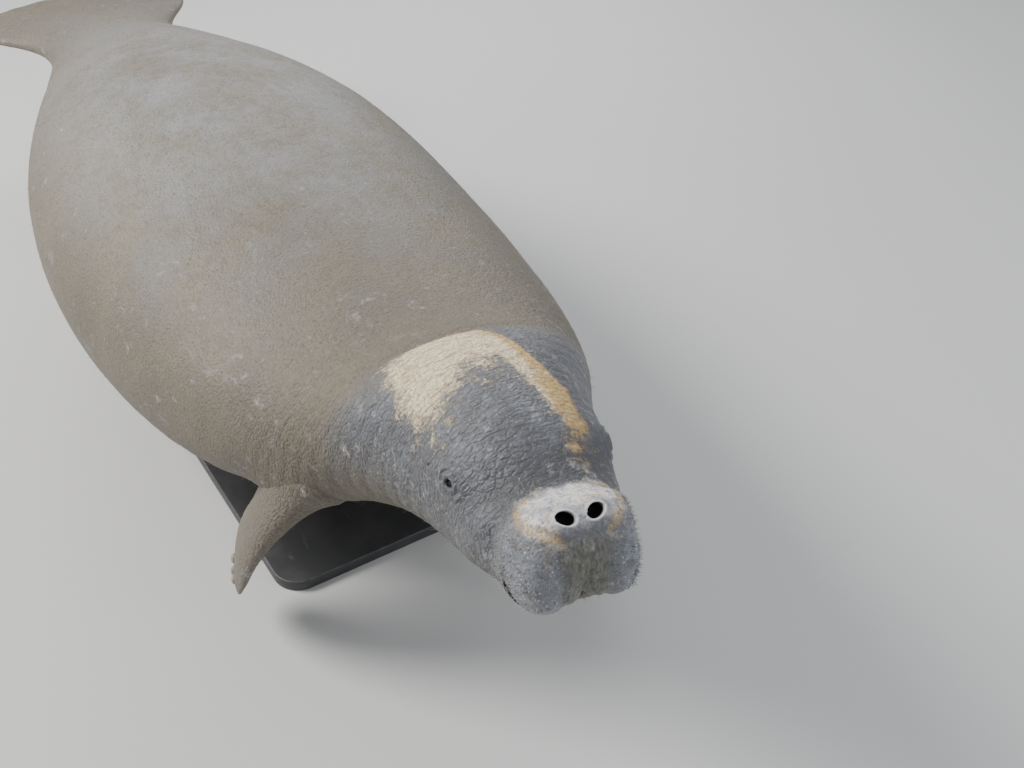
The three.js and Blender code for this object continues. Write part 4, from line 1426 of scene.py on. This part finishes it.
class MANATEE_OT_eyes(bpy.types.Operator):
    """Build the two eyes, set deep behind their lids"""

    bl_idname = "manatee.eyes"
    bl_label = "Eyes"

    def execute(self, context):
        material = eye_material(context.scene.manatee_colours)
        for name, side in (("eye_left", 1), ("eye_right", -1)):
            add_piece(self.eye(name, side), material, "eye", name)
        return {"FINISHED"}

    def eye(self, name, side):
        """A ball with a slightly raised clear front: radius + bulge e^-(angle / 0.45)^2."""
        back, up, out = local_frame(EYE_OUT)
        tilt = (np.arange(1, 40) / 40 * math.pi)[:, None]
        turn = (2 * math.pi * np.arange(48) / 48)[None, :]
        radius = EYE["radius"] + EYE_BULGE * bell(tilt, 0, 0.45) + 0 * turn
        middle = EYE_AT - EYE["behind"] * EYE_OUT
        across = radius * np.sin(tilt)
        ball = (
            middle
            + (radius * np.cos(tilt))[..., None] * out
            + (across * np.cos(turn))[..., None] * back
            + (across * np.sin(turn))[..., None] * up
        )
        poles = np.stack([middle + out * (EYE["radius"] + EYE_BULGE), middle - out * EYE["radius"]])
        surface = Surface()
        away = np.concatenate([across.ravel(), [0.0, 0.0]])
        from_front = np.concatenate([np.broadcast_to(tilt, across.shape).ravel(), [0.0, math.pi]])
        away = np.where(from_front > math.pi / 2, EYE["radius"], away)
        surface.add_tube(
            posed(mirrored(ball, side)),
            posed(mirrored(poles, side)),
            flip=side < 0,
            marks={"from_axis": away},
        )
        return surface.mesh(name + "_ball")


class MANATEE_OT_nails(bpy.types.Operator):
    """Build the three nails of each flipper"""

    bl_idname = "manatee.nails"
    bl_label = "Nails"

    def execute(self, context):
        material = nail_material(context.scene.manatee_colours)
        for word, side in (("left", 1), ("right", -1)):
            for number, (across, down) in enumerate(NAIL_PLACES, start=1):
                node = f"nail_{word}_{number}"
                add_piece(self.nail(node + "_plate", side, across, down), material, "nail", node)
        return {"FINISHED"}

    def nail(self, name, side, across, down):
        """A flattened ellipsoid with fine ridges, longer by a share of cos^2 at its free edge."""
        middle, chord, through, wide, thick, along = flipper_frame(np.array(down))
        centre = middle + chord * across * wide + through * thick * math.sqrt(1 - across**2)
        long, broad, deep = NAIL_SIZE
        tilt = (np.arange(1, 20) / 20 * math.pi)[:, None]
        turn = (2 * math.pi * np.arange(32) / 32)[None, :]
        reach = long * (1 + NAIL_FREE_EDGE * np.clip(np.cos(tilt), 0, 1) ** 2)
        ridge = 1 + NAIL_RIDGES * np.cos(9 * turn) * np.sin(tilt)
        plate = (
            centre
            + (reach * np.cos(tilt) + 0 * turn)[..., None] * along
            + (broad * np.sin(tilt) * np.cos(turn))[..., None] * chord
            + (deep * np.sin(tilt) * np.sin(turn) * ridge)[..., None] * through
        )
        poles = np.stack([centre + along * long * (1 + NAIL_FREE_EDGE), centre - along * long])
        root = np.array(FLIPPER_ROWS[FLIPPER_ROOT][:3], float) * [1, side, 1]
        surface = Surface()
        surface.add_tube(
            posed_stiff(mirrored(plate, side), root),
            posed_stiff(mirrored(poles, side), root),
            flip=side < 0,
        )
        return surface.mesh(name)


class MANATEE_OT_hairs(bpy.types.Operator):
    """Build the bristles of the lips and the sparse hairs of the body"""

    bl_idname = "manatee.hairs"
    bl_label = "Bristles and hairs"

    def execute(self, context):
        sizes = context.scene.manatee_sizes
        look = context.scene.manatee_colours
        points, marks, place = body_grid(sizes.fold_depth)
        grid = posed(points)
        u, _, h = np.moveaxis(points, -1, 0)
        open_skin = (1 - rise(marks["opening_shade"], 0.0, 0.1)) * rise(place, 4.2, 4.9)
        lips = open_skin * (marks["pads"] + 0.25 * marks["centre"] * rise(-h, 20, 70))
        chin = open_skin * (1 - rise(u, 90, 150)) * rise(-h, 124, 134) * 0.5
        bristles = hair_mesh(
            "muzzle_bristles", grid, lips + chin, sizes.bristle_count, sizes.bristle_length, BRISTLE
        )
        add_piece(bristles, bristle_material(look, "manatee_bristle", look.bristle), "snout_hide")
        weight = open_skin * rise(u, 120, 260) * (1 - rise(u, 3350, 3500))
        hairs = hair_mesh("body_hairs", grid, weight, sizes.hair_count, sizes.hair_length, BODY_HAIR)
        add_piece(hairs, bristle_material(look, "manatee_hair", look.hair), "hide")
        return {"FINISHED"}


class MANATEE_OT_stand(bpy.types.Operator):
    """Build the painted base and the two steel rods"""

    bl_idname = "manatee.stand"
    bl_label = "Display stand"

    def execute(self, context):
        look = context.scene.stand_colours
        add_piece(self.base(), base_material(look), "stand_base", "stand_base")
        steel = rod_material(look)
        for name, side in (("stand_rod_front", 1), ("stand_rod_rear", -1)):
            x = side * STAND["rod_spacing"] / 2
            add_piece(self.rod(name + "_turned", x), steel, "stand_rod", name)
        return {"FINISHED"}

    def base(self):
        """A rounded oblong whose outline is a corner circle pushed to each corner.

        Its rings run from the underside round a quarter-circle bevel, over the top.
        """
        corner = np.linspace(0, math.pi / 2, 15)
        turn = np.concatenate([corner + k * math.pi / 2 for k in range(4)])
        quarter = np.repeat(np.arange(4) * math.pi / 2 + math.pi / 4, len(corner))
        long = STAND["length"] / 2 - STAND["corner"]
        wide = STAND["width"] / 2 - STAND["corner"]
        middle = np.stack([np.sign(np.cos(quarter)) * long, np.sign(np.sin(quarter)) * wide], -1)
        out = np.stack([np.cos(turn), np.sin(turn)], -1)
        bevel = STAND["bevel"]
        bend = np.linspace(0, math.pi / 2, 6)
        under = np.stack([bevel * (1 - np.sin(bend)), bevel * (1 - np.cos(bend))], -1)
        over = np.stack([bevel * (1 - np.cos(bend)), STAND["thick"] - bevel * (1 - np.sin(bend))], -1)
        inner = STAND["corner"] * 0.5
        profile = np.concatenate(
            [[[inner, 0]], under, over, [[bevel * 1.6, STAND["thick"]], [inner, STAND["thick"]]]]
        )
        rings = [
            np.concatenate([middle + out * (STAND["corner"] - inset), np.full((len(turn), 1), z)], axis=1)
            for inset, z in profile
        ]
        surface = Surface()
        poles = np.array([[0, 0, 0], [0, 0, STAND["thick"]]], float)
        surface.add_tube(np.stack(rings) * MM, poles * MM)
        return surface.mesh("stand_base_board")

    def rod(self, name, x):
        """A profile turned round an upright axis: collar, rod and a top within the skin."""
        u = SNOUT_TO_ORIGIN - x
        belly = np.interp(u, *steered(ROWS, np.linspace(len(HEAD_ROWS), LAST_ROW, 800))[:, [0, 6]].T)
        top = REST_LEVEL + belly + STAND["rod_into_skin"]
        foot = STAND["thick"] + STAND["gap"]
        radius, collar = STAND["rod_radius"], STAND["collar_radius"]
        high = foot + STAND["collar_height"]
        bend = np.linspace(0, math.pi / 2, 6)
        edge, dip = STAND["collar_round"], STAND["cove"]
        rounded = np.stack([collar - edge + edge * np.cos(bend), high - edge + edge * np.sin(bend)], -1)
        cove = np.stack([radius + dip - dip * np.sin(bend), high + dip - dip * np.cos(bend)], -1)
        profile = np.concatenate(
            [[[collar - 1, foot], [collar, foot + 1]], rounded, cove, [[radius, top - 40], [radius, top]]]
        )
        turn = 2 * math.pi * np.arange(72) / 72
        radii, level = profile[:, 0][:, None], profile[:, 1][:, None]
        grid = np.stack(
            [x + radii * np.cos(turn), radii * np.sin(turn) + 0 * level, level + 0 * turn], axis=-1
        )
        surface = Surface()
        surface.add_tube(grid * MM, np.array([[x, 0, foot], [x, 0, top]]) * MM)
        return surface.mesh(name)


class MANATEE_OT_stage(bpy.types.Operator):
    """Set the pale floor, the soft lights and the camera"""

    bl_idname = "manatee.stage"
    bl_label = "Studio"

    def execute(self, context):
        self.floor(context.scene.stand_colours)
        for lamp in LIGHTS:
            self.light(*lamp)
        world = bpy.data.worlds.new("studio")
        world.use_nodes = True
        for socket, value in zip(world.node_tree.nodes["Background"].inputs, SKY):
            socket.default_value = value
        context.scene.world = world
        context.scene.camera = self.camera()
        return {"FINISHED"}

    def floor(self, look):
        """A wide flat floor, barely clouded."""
        board = Board("studio_floor")
        soft = board.noise(board.place(), 0.7, 2)
        colour = board.blend(soft.rise(0.3, 0.7) * 0.06, look.floor, (0.5, 0.5, 0.5))
        board.finish(colour, soft * 0.1 + 0.75)
        data = bpy.data.meshes.new("floor")
        far = FLOOR_REACH
        corners = [(-far, -far, 0), (far, -far, 0), (far, far, 0), (-far, far, 0)]
        data.from_pydata(corners, [], [(0, 1, 2, 3)])
        data.materials.append(board.material)
        floor = bpy.data.objects.new("floor", data)
        bpy.context.scene.collection.objects.link(floor)

    def light(self, name, place, size, power, colour):
        """A round soft light, aimed at the animal."""
        data = bpy.data.lights.new(name, "AREA")
        data.shape = "DISK"
        data.size = size
        data.energy = power
        data.color = colour
        lamp = bpy.data.objects.new(name, data)
        lamp.location = place
        aim = Vector(LIGHTS_AIM) - Vector(place)
        lamp.rotation_euler = aim.to_track_quat("-Z", "Y").to_euler()
        bpy.context.scene.collection.objects.link(lamp)

    def camera(self):
        """The camera, turned by its yaw, downward pitch and roll."""
        yaw, pitch, roll = (math.radians(turn) for turn in CAMERA["turns"])
        ahead = Vector(
            (math.cos(pitch) * math.cos(yaw), math.cos(pitch) * math.sin(yaw), -math.sin(pitch))
        )
        level = Vector((math.sin(yaw), -math.cos(yaw), 0))
        upright = level.cross(ahead)
        right = level * math.cos(roll) + upright * math.sin(roll)
        up = upright * math.cos(roll) - level * math.sin(roll)
        data = bpy.data.cameras.new("camera")
        data.sensor_width = SENSOR
        data.lens = SENSOR * LENS_IN_WIDTHS
        data.clip_end = 200
        camera = bpy.data.objects.new("camera", data)
        turn = Matrix((right, up, -ahead)).transposed().to_4x4()
        turn.translation = CAMERA["place"]
        camera.matrix_world = turn
        bpy.context.scene.collection.objects.link(camera)
        return camera


class MANATEE_PT_panel(bpy.types.Panel):
    """Buttons for every piece, and the sizes and colours"""

    bl_idname = "MANATEE_PT_panel"
    bl_label = "Manatee"
    bl_space_type = "VIEW_3D"
    bl_region_type = "UI"
    bl_category = "Manatee"

    def draw(self, context):
        for operator in OPERATORS:
            self.layout.operator(operator.bl_idname)
        for name, group in GROUPS.items():
            box = self.layout.box()
            for key in group.__annotations__:
                box.prop(getattr(context.scene, name), key)


OPERATORS = [
    MANATEE_OT_skin,
    MANATEE_OT_eyes,
    MANATEE_OT_nails,
    MANATEE_OT_hairs,
    MANATEE_OT_stand,
    MANATEE_OT_stage,
]
GROUPS = {
    "manatee_sizes": ManateeSizes,
    "manatee_colours": ManateeColours,
    "stand_colours": StandColours,
}


def register():
    for group in GROUPS.values():
        bpy.utils.register_class(group)
    for name, group in GROUPS.items():
        setattr(bpy.types.Scene, name, bpy.props.PointerProperty(type=group))
    for operator in OPERATORS:
        bpy.utils.register_class(operator)
    bpy.utils.register_class(MANATEE_PT_panel)


def unregister():
    bpy.utils.unregister_class(MANATEE_PT_panel)
    for operator in reversed(OPERATORS):
        bpy.utils.unregister_class(operator)
    for name, group in GROUPS.items():
        delattr(bpy.types.Scene, name)
        bpy.utils.unregister_class(group)


def main():
    register()
    bpy.ops.manatee.skin()
    bpy.ops.manatee.eyes()
    bpy.ops.manatee.nails()
    bpy.ops.manatee.hairs()
    bpy.ops.manatee.stand()
    bpy.ops.manatee.stage()


if __name__ == "__main__":
    main()
